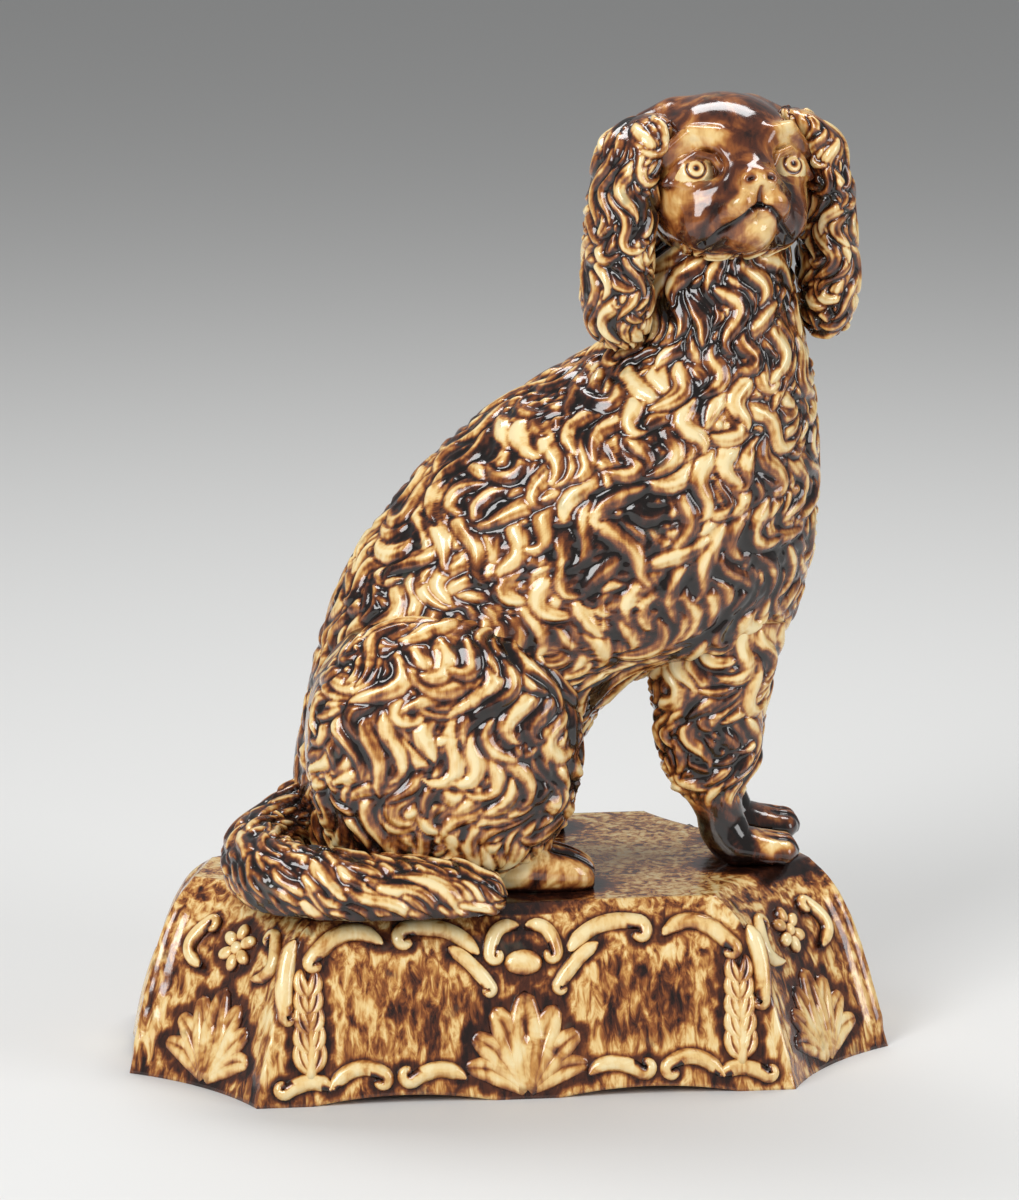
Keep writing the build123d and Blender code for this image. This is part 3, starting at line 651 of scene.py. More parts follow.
def lay_locks(points, ring, flow, weight, seed, spacing=5.2, length=21.0, width=3.3, height=1.6,
              swing=52.0, moat=0.5, hook=0.5, wave=23.0, mains=None):
    """Heights, thinness and a chance value over a grid of points, from overlapping locks of hair.

    Main locks, if given, are places and slants of straighter locks that are laid last, over the others.
    """
    rng = np.random.default_rng(seed)
    normal = normals_of(points, ring, points.mean((0, 1)))
    seeds = scatter(points, weight, spacing, rng)
    slant = np.zeros(len(seeds))
    is_main = np.zeros(len(seeds), bool)
    if mains is not None:
        starts = [((points - start) ** 2).sum(-1).argmin() for start in mains[:, :3]]
        seeds = np.concatenate([seeds, starts])
        slant = np.concatenate([slant, mains[:, 3]])
        is_main = np.concatenate([is_main, np.ones(len(mains), bool)])
    track = grow_locks(points, normal, ring, flow, seeds, slant, is_main, rng, seed, length, swing, hook, wave)
    paths = read_grid(points, track[..., 0], track[..., 1], ring)
    count = len(seeds)
    depth = (paths[:, 0] * flow(paths[:, 0])).sum(-1) + rng.normal(0, spacing * 0.5, count) - 1000 * is_main
    lifts = rng.uniform(0.0, 0.45, count)
    chance = rng.random(count)
    widths = width * np.where(is_main, 1, rng.uniform(0.75, 1.25, count))
    strands = rng.integers(2, 4, count)
    relief, thin, lock = (np.full(points.shape[:2], value) for value in (0.7, 0.6, 0.5))
    cell_i, cell_j = (np.maximum(np.linalg.norm(step, axis=-1), 0.05) for step in steps_of(points, ring))
    for k in np.argsort(-depth):
        reach = widths[k] + moat
        window, cell = window_of(track[k], reach, cell_i, cell_j, ring)
        spots = points[window]
        near = ((spots - paths[k, LOCK_STEPS // 2]) ** 2).sum(-1) < (length * 1.1 + reach) ** 2
        if not near.any():
            continue
        gap, t = np.full(near.shape, 99.0), np.zeros(near.shape)
        gap[near], t[near] = distance_to_path(spots[near], paths[k], normal[cell])
        half = widths[k] * np.interp(t, LOCK_ALONG, LOCK_WIDTH)
        x = gap / half
        inside = np.abs(x) < 1
        dome = np.clip(1 - np.abs(x) ** 2.2, 0, 1) ** 0.75
        comb = 0.5 + 0.5 * np.cos(np.pi * strands[k] * (x + 0.5 * (strands[k] % 2) + 0.35 * t))
        raised = height * (0.72 + 0.28 * np.sin(np.pi * t)) * (0.78 + 0.22 * comb)
        raised = (lifts[k] + 0.35 * t + raised) * dome
        outside = smoothstep(half, half + moat, np.abs(gap))
        crest = 1.12 * dome**0.8 * (0.5 + 0.5 * comb**0.6)
        relief[window] = np.where(inside, raised, relief[window] * outside)
        thin[window] = np.where(inside, crest, thin[window] * outside)
        lock[window] = np.where(inside, chance[k], lock[window])
    return soften(relief, 2, ring), soften(thin, 1, ring), lock, count


print("locks can be laid")

# %% [markdown]
# ## Body
#
# The hollow body was pressed in two halves that meet along the back and the chest. Its form is a run of oval
# slices from the seat to the neck. The locks are laid over the whole body at once, so they cross the join, and
# only then is the grid cut in two. Both halves keep the normals of the whole, which hides the line between them.


# %% Body's slices
TORSO = [
    (-57, 0, 2, 0, 36), (-58, 21, 14, 15, 40), (-56.5, 38, 22, 33, 41), (-53, 55, 31, 48, 41),
    (-47, 76, 47, 57, 40), (-37, 95, 79, 63, 40), (-23, 112, 88, 84, 40), (-5.5, 128, 90.5, 105, 38),
    (13, 139, 90, 122, 34), (29.5, 149, 88.5, 139, 29), (37, 161, 85, 155, 25), (42, 176, 82, 172, 21),
    (47, 184, 80.5, 181, 17),
]


def torso_grid(rows, columns):
    """Points of the body's skin: columns start at the chest and go round by the left side."""
    slices = np.array(TORSO, float)
    back, front = slices[:, 0:2], slices[:, 2:4]
    run = np.linalg.norm(np.diff(back, axis=0), axis=1) + np.linalg.norm(np.diff(front, axis=0), axis=1)
    knots = np.concatenate([[0], np.cumsum(run)])
    at = np.linspace(0, knots[-1], rows)
    middle = smooth_through(knots, (back + front) / 2, at)
    half = smooth_through(knots, (front - back) / 2, at)
    wide = smooth_through(knots, slices[:, 4], at)
    angle = once_round(columns)
    points = np.zeros((rows, columns, 3))
    points[..., 0] = middle[:, :1] + half[:, :1] * np.cos(angle)
    points[..., 2] = TABLE + middle[:, 1:] + half[:, 1:] * np.cos(angle)
    points[..., 1] = wide[:, None] * np.sin(angle)
    return points


def coat_flow(spots):
    """The way the coat hangs: down, and a little towards the tail on the flanks."""
    flow = np.zeros_like(spots)
    flow[..., 2] = -1.0
    flow[..., 0] = -0.30 + 0.45 * smoothstep(20, 80, spots[..., 0])
    return flow


def paint_of(thin, lock, glaze_pool_and_shade=0.0):
    """The glaze attribute's three channels from their grids."""
    # The third channel carries glaze pools and painted contact shade.
    return np.stack([thin, lock, np.broadcast_to(glaze_pool_and_shade, thin.shape)], axis=-1)


print("body from", len(TORSO), "slices")

# %% [markdown]
# ### Main locks
#
# The solid already has the body's largest locks, in rows round the slices. The same places are worked out here, so
# that the dressed coat rises where the solid does. Places that a limb, an ear, the tail or the join covers are
# left out.

# %% Main locks
MAIN_SPACING, MAIN_SLANT, MAIN_MARGIN = 10, math.radians(24), 8.5
EAR_PLACES = ((31.7, -14.4), (92.3, -1.6))


def is_covered(x, y, h):
    """Whether a place on the body is hidden or lies on the join."""
    thigh_x, thigh = (-14, 34) if y > 0 else (-19, 38)
    over = abs((x - thigh_x) / (thigh + MAIN_MARGIN)) ** 2.3 + abs((h - 40) / 47) ** 2.3
    by_thigh = over < 1 and abs(y) > 6
    by_foreleg, by_tail = x > 34 and h < 80.5, x < -40 and h < 25.5
    by_ear = h > 141.5 and any(math.hypot(x - ex, y - ey) < 22 for ex, ey in EAR_PLACES)
    return by_thigh or by_foreleg or by_tail or by_ear or abs(y) < 6.5 or h > 162


def main_lock_places():
    """Where the solid's main locks lie on the skin, and how each slants."""
    slices = np.array(TORSO, float)
    last = len(slices) - 1
    rows = []
    for number in range(last):
        a, b, c, d = (slices[max(0, min(number + step, last))] for step in (-1, 0, 1, 2))
        rows += [b, (9 * (b + c) - a - d) / 16]
    places = []
    for number in range(3, len(rows) - 2):
        bx, bh, fx, fh, wide = rows[number]
        total = round(math.pi * (math.hypot(fx - bx, fh - bh) / 2 + wide) / MAIN_SPACING)
        for step in range(total):
            angle = 2 * math.pi * (step + 0.25 + 0.5 * (number % 2)) / total
            c = math.cos(angle)
            x, h = (fx + bx) / 2 + (fx - bx) / 2 * c, (fh + bh) / 2 + (fh - bh) / 2 * c
            y = wide * math.sin(angle)
            if not is_covered(x, y, h):
                places.append((x, y, TABLE + h, MAIN_SLANT if step % 2 else -MAIN_SLANT))
    return np.array(places)


mains = main_lock_places()
print("main locks", len(mains))

# %% Body halves
BODY_ROWS, BODY_COLUMNS = 380, 508
torso = torso_grid(BODY_ROWS, BODY_COLUMNS)
torso_middle = torso.mean((0, 1))
torso_normal = normals_of(torso, True, torso_middle)
relief, thin, lock, count = lay_locks(torso, True, coat_flow, np.ones(torso.shape[:2]), 11, mains=mains)
coat = torso + torso_normal * (relief - 0.95)[..., None]
coat_normal = normals_of(coat, True, torso_middle)
coat_paint = paint_of(thin, lock)
half_way = BODY_COLUMNS // 2
left_columns = np.arange(half_way + 1)
right_columns = (left_columns + half_way) % BODY_COLUMNS
body_left = half_piece("body_left", coat, coat_paint, coat_normal, left_columns, fur_glaze)
body_right = half_piece("body_right", coat, coat_paint, coat_normal, right_columns, fur_glaze)
dress(body_right, "fur_glaze", "body_right_half")
dress(body_left, "fur_glaze", "body_left_half")
print("locks on the body", count, "of them main locks", len(mains))

# %% [markdown]
# ## Haunches
#
# Each thigh is a domed pad luted to the body's side. Its grid is a square pulled into a disc, so the middle of the
# dome has no crowded point where locks would crumple.


# %% Haunches
def haunch_grid(side, middle_x, length, size):
    """Points of a thigh's dome, as a square grid pulled into a disc."""
    a, b = np.meshgrid(np.linspace(-1, 1, size), np.linspace(1, -1, size))
    x, z = a * np.sqrt(1 - b * b / 2), b * np.sqrt(1 - a * a / 2)
    reach, turn = np.clip(np.hypot(x, z), 0, 1), np.arctan2(z, x)
    profile = np.array([(0, 51.6), (0.25, 51.2), (0.55, 49.6), (0.84, 44.8), (1, 36), (1, 18)], float)
    run = np.hypot(np.diff(profile[:, 0]) * 37, np.diff(profile[:, 1]))
    knots = np.concatenate([[0], np.cumsum(run)]) / run.sum()
    share = np.minimum(np.interp(reach, knots, profile[:, 0]), 1)
    out = smooth_through(knots, profile[:, 1], reach.ravel()).reshape(reach.shape)
    oval = 2 / 2.3
    points = np.zeros((size, size, 3))
    points[..., 0] = middle_x + share * length / 2 * np.sign(np.cos(turn)) * np.abs(np.cos(turn)) ** oval
    points[..., 2] = TABLE + 40 + share * 38.5 * np.sign(np.sin(turn)) * np.abs(np.sin(turn)) ** oval
    points[..., 1] = side * out
    return points


def patch_piece(name, points, paint, material):
    """A closed piece from a grid whose whole border is joined to a middle point behind it."""
    rows, columns = points.shape[:2]
    index = np.arange(rows * columns).reshape(rows, columns)
    border = np.concatenate([index[0, :-1], index[:-1, -1], index[-1, :0:-1], index[:0:-1, 0]])
    flat = points.reshape(-1, 3)
    flat = np.concatenate([flat, flat[border].mean(0, keepdims=True)])
    colour = np.concatenate([paint.reshape(-1, 3), paint[:1, 0]])
    fan = np.stack([np.roll(border, -1), border, np.full(len(border), rows * columns)], -1)
    return closed_mesh(name, flat, [grid_faces(rows, columns, False), fan], colour, material)


for side, label, middle_x, length, seed in ((-1, "right", -19, 76, 21), (1, "left", -14, 68, 22)):
    thigh = haunch_grid(side, middle_x, length, 230)
    inner = np.array([middle_x, 0, TABLE + 40.0])
    thigh_normal = normals_of(thigh, False, inner)
    relief, thin, lock, count = lay_locks(thigh, False, coat_flow, np.ones(thigh.shape[:2]), seed)
    hidden = smoothstep(24, 30, np.abs(thigh[..., 1]))
    thigh = thigh + thigh_normal * ((relief - 0.95) * hidden)[..., None]
    dress(patch_piece(label + "_thigh", thigh, paint_of(thin, lock), fur_glaze), "fur_glaze", label + "_haunch")

# %% [markdown]
# ## Ears
#
# The ears are rolls of long wavy hair that hang straight down beside the face. They are pressed by themselves and
# stuck on, and their locks are finer than the coat's.


# %% Ears
YAW, PITCH = math.radians(12), math.radians(25)
ACROSS = np.array([math.cos(YAW), math.sin(YAW), 0.0])
AHEAD = np.array([math.sin(YAW) * math.cos(PITCH), -math.cos(YAW) * math.cos(PITCH), math.sin(PITCH)])
UP = np.cross(AHEAD, ACROSS)
UP = UP if UP[2] > 0 else -UP
HEAD = np.array([62.0, -8.0, TABLE + 195.5])
EAR = [
    (214.6, 20.5, 0.30, 4.0), (213, 22, 0.62, 8.0), (208, 26, 0.95, 11.5), (196, 29, 1.0, 13.0),
    (178, 31, 1.0, 13.5), (162, 31.5, 1.0, 13.0), (154, 31, 0.8, 9.5), (150, 30.5, 0.4, 5.0),
]


def ear_grid(side, thickness, rows, columns):
    """Points of a hanging ear, from its top down."""
    shape = evenly(EAR, (1, 0, 0, 1), rows)
    turn = once_round(columns)
    facing = np.array([math.sin(YAW), -math.cos(YAW), 0.0])
    middle = HEAD + side * shape[:, 1:2] * ACROSS
    middle[:, 2] = TABLE + shape[:, 0]
    sway = shape[:, None, 2:3] * thickness / 2 * np.cos(turn)[None, :, None] * ACROSS
    return middle[:, None] + sway + shape[:, None, 3:4] * np.sin(turn)[None, :, None] * facing


def hang_flow(spots):
    """Straight down."""
    return np.broadcast_to(np.array([0.0, 0.0, -1.0]), spots.shape)


for side, label, thickness, seed in ((-1, "right", 18.0, 31), (1, "left", 14.0, 32)):
    ear = ear_grid(side, thickness, 190, 190)
    ear_normal = normals_of(ear, True, ear.mean((0, 1)))
    relief, thin, lock, count = lay_locks(
        ear, True, hang_flow, np.ones(ear.shape[:2]), seed, spacing=4.6, length=20, width=2.6, height=1.5
    )
    relief[[0, -1]] = 0.5
    ear = ear + ear_normal * (relief - 0.8)[..., None]
    dress(ring_piece(label + "_ear_locks", ear, paint_of(thin, lock), fur_glaze), "fur_glaze", label + "_ear")

# %% [markdown]
# ## Forelegs
#
# A foreleg is swept like a sock: down the feathered forearm, through the thin smooth pastern, and forward into the
# paw. Only the forearm has locks. Glaze gathered on the pastern and left it dark, and the toes are split by grooves.


# %% Sweeping a limb
SOCK = [
    (-1, 74, 19, 13), (-3.5, 58, 18, 13), (-4, 46, 16, 12), (-3.5, 34, 14.5, 10.5), (-3, 26, 12.0, 9.3),
    (-2.2, 21.5, 8.6, 7.6), (-1, 16.5, 6.8, 6.6), (0.6, 10.5, 6.9, 6.7), (3.6, 6.4, 6.4, 7.8), (9, 5.2, 5.2, 8.4),
    (15, 4.6, 4.6, 8.6), (19.6, 3.9, 3.8, 7.2), (21.6, 3.4, 1.7, 3.8),
]


def swept_rings(path, wide, high, columns, upright):
    """Rings of points square to a path; wide lies across it and high lies in the upright plane."""
    ahead = unit(np.gradient(path, axis=0))
    level = unit(np.cross(upright, ahead))
    rise = np.cross(ahead, level)
    turn = once_round(columns)
    return (
        path[:, None]
        + wide[:, None, None] * np.cos(turn)[None, :, None] * level[:, None]
        + high[:, None, None] * np.sin(turn)[None, :, None] * rise[:, None]
    )


def toe_grooves(across, half_width, count):
    """Depth of the grooves between toes, from the place across the paw."""
    depth = np.zeros_like(across)
    for k in range(1, count):
        depth += np.exp(-(((across / half_width - (2 * k / count - 1)) / 0.13) ** 2))
    return np.clip(depth, 0, 1)


LEG_ROWS, LEG_COLUMNS = 210, 170
leg_shape = evenly(SOCK, (1, 1, 0, 0), LEG_ROWS)
print("a leg swept through", len(SOCK), "slices")

# %% Forelegs
for label, foot_x, foot_y, seed in (("right", 62, -15, 41), ("left", 67, 13, 42)):
    forward, upward, thick, wide = leg_shape.T
    path = np.stack([foot_x + forward, np.full(LEG_ROWS, float(foot_y)), TABLE + upward], -1)
    leg = swept_rings(path, wide, np.maximum(thick, 1.2), LEG_COLUMNS, np.array([1.0, 0.0, 0.35]))
    leg_normal = unit(leg - path[:, None])
    height = leg[..., 2] - TABLE
    feather = smoothstep(18, 22.5, height) * (path[:, None, 2] > TABLE + 15)
    relief, thin, lock, count = lay_locks(
        leg, True, hang_flow, feather + 1e-6, seed, spacing=5.2, length=22, width=2.9, height=1.7
    )
    paw = smoothstep(6, 10, leg[..., 0] - foot_x) * smoothstep(14, 11, height)
    front_of_paw = smoothstep(11, 16, leg[..., 0] - foot_x)
    toes = toe_grooves(leg[..., 1] - foot_y, 8.6, 4) * paw * front_of_paw * smoothstep(1.0, 3.0, height)
    swell = feather * (relief - 0.9) - 0.7 * toes
    leg = leg + leg_normal * swell[..., None]
    leg[..., 2] = np.maximum(leg[..., 2], TABLE + 0.05)
    bare = 0.24 + 0.55 * paw * smoothstep(3, 8, height)
    thin = feather * thin + (1 - feather) * bare * (1 - 0.9 * toes)
    # Painted contact shade, together with glaze pools, darkens the foot where it meets the table.
    glaze_pool_and_shade = 0.75 * smoothstep(2.5, 0.3, height)
    piece = ring_piece(label + "_leg_and_paw", leg, paint_of(thin, lock, glaze_pool_and_shade), fur_glaze)
    dress(piece, "fur_glaze", label + "_foreleg")

# %% [markdown]
# ## Hind paws
#
# The hind paws lie flat in front of the thighs, pale and smooth with grooved toes. Each is a short sweep of ovals,
# flattened where it meets the table, and darkened along its foot by glaze pools and painted contact shade.


# %% Hind paws
PAW = [
    (-0.02, 0.40, 0.10, 0.10), (0, 0.40, 0.55, 0.50), (0.25, 0.42, 0.85, 0.60), (0.55, 0.40, 1.0, 0.58),
    (0.85, 0.32, 0.92, 0.44), (0.97, 0.27, 0.68, 0.32), (1.0, 0.25, 0.15, 0.08),
]
PAW_LENGTH, PAW_HEIGHT, PAW_HALF, PAW_STEPS, HEEL_X = 29, 13.5, 9.5, 120, -6
paw_shape = evenly(PAW, (PAW_LENGTH, PAW_HEIGHT, PAW_HALF, PAW_HEIGHT), PAW_STEPS)
for label, middle_y in (("right", -32.0), ("left", 32.0)):
    forward, upward = HEEL_X + np.maximum.accumulate(PAW_LENGTH * paw_shape[:, 0]), PAW_HEIGHT * paw_shape[:, 1]
    path = np.stack([forward, np.full(PAW_STEPS, middle_y), TABLE + upward], -1)
    turn = once_round(PAW_STEPS)
    paw = np.repeat(path[:, None], PAW_STEPS, axis=1)
    paw[..., 1] += np.maximum(paw_shape[:, 2:3], 0.05) * PAW_HALF * np.cos(turn)
    paw[..., 2] += np.maximum(paw_shape[:, 3:4], 0.05) * PAW_HEIGHT * np.sin(turn)
    height = paw[..., 2] - TABLE
    toes = toe_grooves(paw[..., 1] - middle_y, PAW_HALF, 4) * smoothstep(8, 12, paw[..., 0])
    toes = toes * smoothstep(0.5, 3, height)
    paw = paw - unit(paw - path[:, None]) * (1.3 * toes)[..., None]
    paw[..., 2] = np.maximum(paw[..., 2], TABLE + 0.05)
    thin = (0.72 + 0.2 * smoothstep(3, 9, height)) * (1 - 0.8 * toes)
    # The third channel darkens the foot with painted contact shade as well as glaze pools.
    paint = paint_of(thin, np.full(thin.shape, 0.5), 0.8 * smoothstep(2.5, 0.3, height))
    dress(ring_piece(label + "_toes", paw, paint, fur_glaze), "fur_glaze", label + "_hind_paw")

# %% [markdown]
# ## Tail
#
# The tail is a fat roll of long strands that wraps round on the plinth's edge. Its locks follow its own path
# instead of hanging down, each to its own rhythm, and they slant a little over its back.

# %% Tail
TAIL = [
    (-51, 5, 19, 8), (-63, -9, 13, 9), (-71, -26, 10, 10), (-67, -43, 8, 11), (-50, -52, 6.5, 11),
    (-28, -53.5, 5, 10), (-13, -53, 3.5, 8.5), (-7, -52.5, 2.5, 6), (-4.5, -52.3, 2.0, 2),
]
tail_shape = evenly(TAIL, (1, 1, 1, 0), 260)
tail_path = tail_shape[:, :3] + [0, 0, TABLE]
tail_size = np.maximum(tail_shape[:, 3], 1)
tail = swept_rings(tail_path, tail_size, tail_size, 160, np.array([0, 0, 1.0]))
tail_ahead = unit(np.gradient(tail_path, axis=0))
tail_normal = unit(tail - tail_path[:, None])


def tail_flow(spots):
    """Along the tail, with a slant over its back."""
    nearest = ((spots[..., None, :] - tail_path[::8]) ** 2).sum(-1).argmin(-1)
    out = spots - tail_path[::8][nearest]
    return tail_ahead[::8][nearest] + 0.55 * unit(np.cross(tail_ahead[::8][nearest], out))


relief, thin, lock, count = lay_locks(
    tail, True, tail_flow, np.ones(tail.shape[:2]), 51, spacing=5.0, length=30, width=2.5, height=1.5,
    swing=26, hook=0.1, wave=99,
)
tail = tail + tail_normal * (relief - 0.9)[..., None]
tail[..., 2] = np.maximum(tail[..., 2], TABLE + 0.05)
# Painted contact shade, together with glaze pools, darkens the tail where it lies on the table.
glaze_pool_and_shade = 0.7 * smoothstep(TABLE + 2.5, TABLE + 0.3, tail[..., 2])
dress(ring_piece("tail_roll", tail, paint_of(thin, lock, glaze_pool_and_shade), fur_glaze), "fur_glaze", "tail")

# %% [markdown]
# ## Head
#
# The face is smooth against the curls: a round skull, arched brows, ringed eyes, a short muzzle and a mouth that
# turns down. Soft shapes are melted together and the surface is found along lines that leave the head's middle,
# which gives one closed grid.


# %% Face shapes
def oval(p, middle, radii):
    """About how far points lie from an oval's skin."""
    radii = np.asarray(radii, float)
    q = (p - middle) / radii
    near = np.linalg.norm(q, axis=-1)
    return near * (near - 1) / (np.linalg.norm(q / radii, axis=-1) + 1e-9)


def rope(p, knots, radius):
    """How far points lie from a rope laid through knots."""
    gap, _ = distance_to_path(p, np.asarray(knots, float))
    return gap - radius


def melt(a, b, k):
    """Two shapes joined with a soft crease of width k."""
    h = np.clip(0.5 + 0.5 * (b - a) / k, 0, 1)
    return b + (a - b) * h - k * h * (1 - h)


def head_shape(p):
    """How far points in the head's own axes lie from its skin."""
    q = np.abs(p) * [1, 0, 0] + p * [0, 1, 1]
    d = oval(q, (0, 3, -2), (23.5, 22, 24))
    d = melt(d, oval(q, (4, -8, 3), (17, 15.5, 17.5)), 5)
    d = melt(d, rope(q, [(12, 19, -2), (19, 16.5, -3), (25, 12, -4)], 5.0), 6)
    d = melt(d, rope(q, [(0, 2, 15), (0, -6.5, 22)], 5.2), 5)
    d = melt(d, oval(q, (4.6, -13.2, 16.5), (6.6, 6.2, 9.6)), 3)
    d = melt(d, oval(q, (0, -20, 12.5), (7.0, 5.0, 8.0)), 2.5)
    d = melt(d, oval(q, (12.5, -14.5, 8), (6.2, 7, 8.6)), 3)
    d = melt(d, rope(q, [(5.0, 2.5, 18.6), (8, 7.0, 19.4), (14.5, 8.8, 17.0), (21.5, 4.0, 9.6)], 2.3), 2.0)
    socket = np.linalg.norm((q - [14.2, -1.6, 18.6]) / [1.3, 1, 1], axis=-1) - 5.7
    d = -melt(-d, socket, 1.4)
    d = np.minimum(d, np.linalg.norm(q - [13.6, -1.8, 11.8], axis=-1) - 5.9)
    upper = [(6.6, -4.0, 17.8), (9.4, 0.8, 18.6), (13.8, 2.6, 17.6), (18.0, 0.8, 14.4), (21.2, -3.4, 10.2)]
    lower = [(6.6, -4.0, 17.8), (10.4, -6.0, 17.8), (15, -6.4, 16.0), (21.2, -3.4, 10.2)]
    d = melt(d, rope(q, upper, 1.15), 0.9)
    d = melt(d, rope(q, lower, 0.95), 0.9)
    d = melt(d, oval(q, (0, -7.6, 24.6), (4.6, 3.6, 4.2)), 1.6)
    d = melt(d, oval(q, (3.0, -8.0, 25.8), (2.4, 2.4, 2.6)), 0.9)
    return d


print("face shapes ready")

# %% Head's grid
ROWS, COLUMNS = 250, 440
tilt = np.linspace(0.02, np.pi - 0.02, ROWS)[:, None]
round_angle = once_round(COLUMNS)[None]
ray = np.stack(
    np.broadcast_arrays(np.sin(tilt) * np.sin(round_angle), np.cos(tilt), np.sin(tilt) * np.cos(round_angle)), -1
)
reach = np.full(ROWS * COLUMNS, 40.0)
for _ in range(46):
    reach = reach - 0.8 * head_shape(ray.reshape(-1, 3) * reach[:, None])
reach = reach.reshape(ROWS, COLUMNS)
print("head from", round(float(reach.min()), 1), "to", round(float(reach.max()), 1), "mm from its middle")

# %% [markdown]
# ### Creases and features
#
# The modeller drew the mouth, nostrils and folds with a pointed tool. Each crease is a short line on the skin, and
# the distance from it sets both how deep the tool went and where dark glaze pools.


# %% Creases of the face
def two_sided(spots):
    """Places folded on to one side of the face, so that a feature appears on both."""
    return np.abs(spots) * [1, 0, 0] + spots * [0, 1, 1]


def crease(knots):
    """Distance over the skin from a line drawn through knots, the same on both sides of the face."""
    gap, _ = distance_to_path(two_sided(ray).reshape(-1, 3), unit(np.asarray(knots, float)))
    return gap.reshape(ROWS, COLUMNS) * reach


def groove(gap, width):
    """A soft groove round the places where the gap is nought."""
    return np.exp(-((gap / width) ** 2))


mouth = crease([(0, -15.4, 24), (2.5, -15.6, 23.6), (6, -17.6, 20), (9.5, -19.6, 14.5), (12.5, -21, 9)])
parting = crease([(0, -10.5, 26.5), (0, -15.4, 24)])
nostril = crease([(2.7, -8.0, 27.4), (3.4, -8.2, 27.4)])
chin_fold = crease([(8, -23, 14), (11, -24.5, 8), (13, -25, 4)])
jowl = crease([(6.5, -10, 23), (10, -12, 18), (12.5, -16.5, 13), (13, -21, 9)])
local = ray * reach[..., None]
mirrored = two_sided(local)


def spot(middle, size):
    """A soft round spot on both sides of the face."""
    return np.exp(-(((mirrored - middle) ** 2).sum(-1)) / size**2)


iris = np.linalg.norm(mirrored - np.array([14.4, -1.5, 17.6]), axis=-1)
eye = np.linalg.norm(mirrored - np.array([13.6, -1.8, 11.8]), axis=-1) < 5.96
cut = 1.4 * groove(mouth, 0.85) + 0.6 * groove(parting, 0.7) + 1.7 * groove(nostril, 0.95)
cut += 0.5 * groove(chin_fold, 0.9) + 0.5 * groove(jowl, 1.3)
cut += eye * (0.40 * groove(iris - 2.8, 0.42) + 0.5 * groove(iris, 0.95))
print("deepest crease", round(float(cut.max()), 2), "mm")

# %% [markdown]
# ### Glaze on the face
#
# The face is mostly brown. The eyes, the brows, the cheeks and the tip of the muzzle stand proud, and glaze ran
# off them to cream. Listed soft spots set that, with dark lines in the creases, the eye's corners and its rings.

# %% Glaze on the face
PALE_SPOTS = [
    (0.28, (21, -9, 9), 7), (0.22, (14, -2, 16), 8), (0.26, (5, -12, 25), 5), (0.36, (0, -9, 28), 4.5),
    (0.28, (0, -20, 19), 6), (0.40, (14, 8.5, 18), 4), (0.30, (9, 6.5, 20), 3.5), (0.22, (7, -15.5, 20), 3),
    (-0.26, (9, -9, 19), 5), (-0.10, (0, 4, 21), 6), (-0.20, (13, -20, 9), 5),
]
face_thin = 0.36 + sum(amount * spot(middle, size) for amount, middle, size in PALE_SPOTS)
face_thin = np.where(eye, 0.95, face_thin)
face_pool = 0.95 * groove(mouth, 0.9) + 0.9 * groove(nostril, 1.0) + 0.5 * groove(parting, 0.7)
face_pool += 0.5 * groove(chin_fold, 1.0) + 0.5 * groove(jowl, 1.2)
face_pool += eye * (0.8 * groove(iris - 2.8, 0.5) + groove(iris, 1.05))
face_pool += 0.8 * spot((7.4, -3.8, 17.5), 1.6) + 0.8 * spot((20.6, -3.4, 10.6), 1.8)
face_pool = np.clip(face_pool, 0, 1)
print("pale and dark spots on the face", len(PALE_SPOTS))

# %% [markdown]
# ### Hair and the two halves of the head
#
# Hair covers only the back of the head and the throat. The head was pressed in two halves that meet at the ears,
# so the finished grid is cut there, and both halves keep the normals of the whole.

# %% Head halves
skin = HEAD + local[..., :1] * ACROSS + local[..., 1:2] * UP + local[..., 2:] * AHEAD
skin_normal = normals_of(skin, True, HEAD)
hair = smoothstep(-3, -9, local[..., 2]) * smoothstep(23.5, 20, np.abs(local[..., 1]))
hair = np.maximum(hair, smoothstep(-17, -21, local[..., 1]) * smoothstep(8, 4, local[..., 2]))
relief, thin, lock, count = lay_locks(
    skin, True, hang_flow, hair + 1e-6, 61, spacing=5.0, length=20, width=2.8, height=1.5
)
swell = hair * (relief - 0.9) - cut
skin = skin + skin_normal * swell[..., None]
skin_normal = normals_of(skin, True, HEAD)
head_paint = paint_of(hair * thin + (1 - hair) * face_thin, lock * hair + 0.5 * (1 - hair), face_pool)
front_columns = (np.arange(0, COLUMNS // 2 + 1) - COLUMNS // 4) % COLUMNS
back_columns = (np.arange(0, COLUMNS // 2 + 1) + COLUMNS // 4) % COLUMNS
face = half_piece("face", skin, head_paint, skin_normal, front_columns, face_glaze)
back_of_head = half_piece("back_of_head", skin, head_paint, skin_normal, back_columns, face_glaze)
dress(face, "face_glaze", "head_face")
dress(back_of_head, "face_glaze", "head_back")

# %% [markdown]
# ## Panels of the plinth's skirt
#
# The skirt has two long sides, two ends and four hollowed canted corners, all leaning in towards the table. Every
# sprig is pressed on to one of these panels. So a panel gives the place in space for a distance along its foot, a
# height up the skirt and a lift off the skin, and the ornament can be drawn flat.


# %% Panels of the skirt
HALF_LONG, HALF_BACK, HALF_DEEP = 108.0, 101.5, 67.0
CANT_X, CANT_Y, CANT_BOW = 33.0, 37.0, 4.0


def lean_at(height):
    """How far the skirt has leaned in at a height, and how fast it goes on leaning."""
    share = np.clip(np.asarray(height, float) / TABLE, 0, 1)
    return 13 * share + 7 * share**6, (13 + 42 * share**5) / TABLE


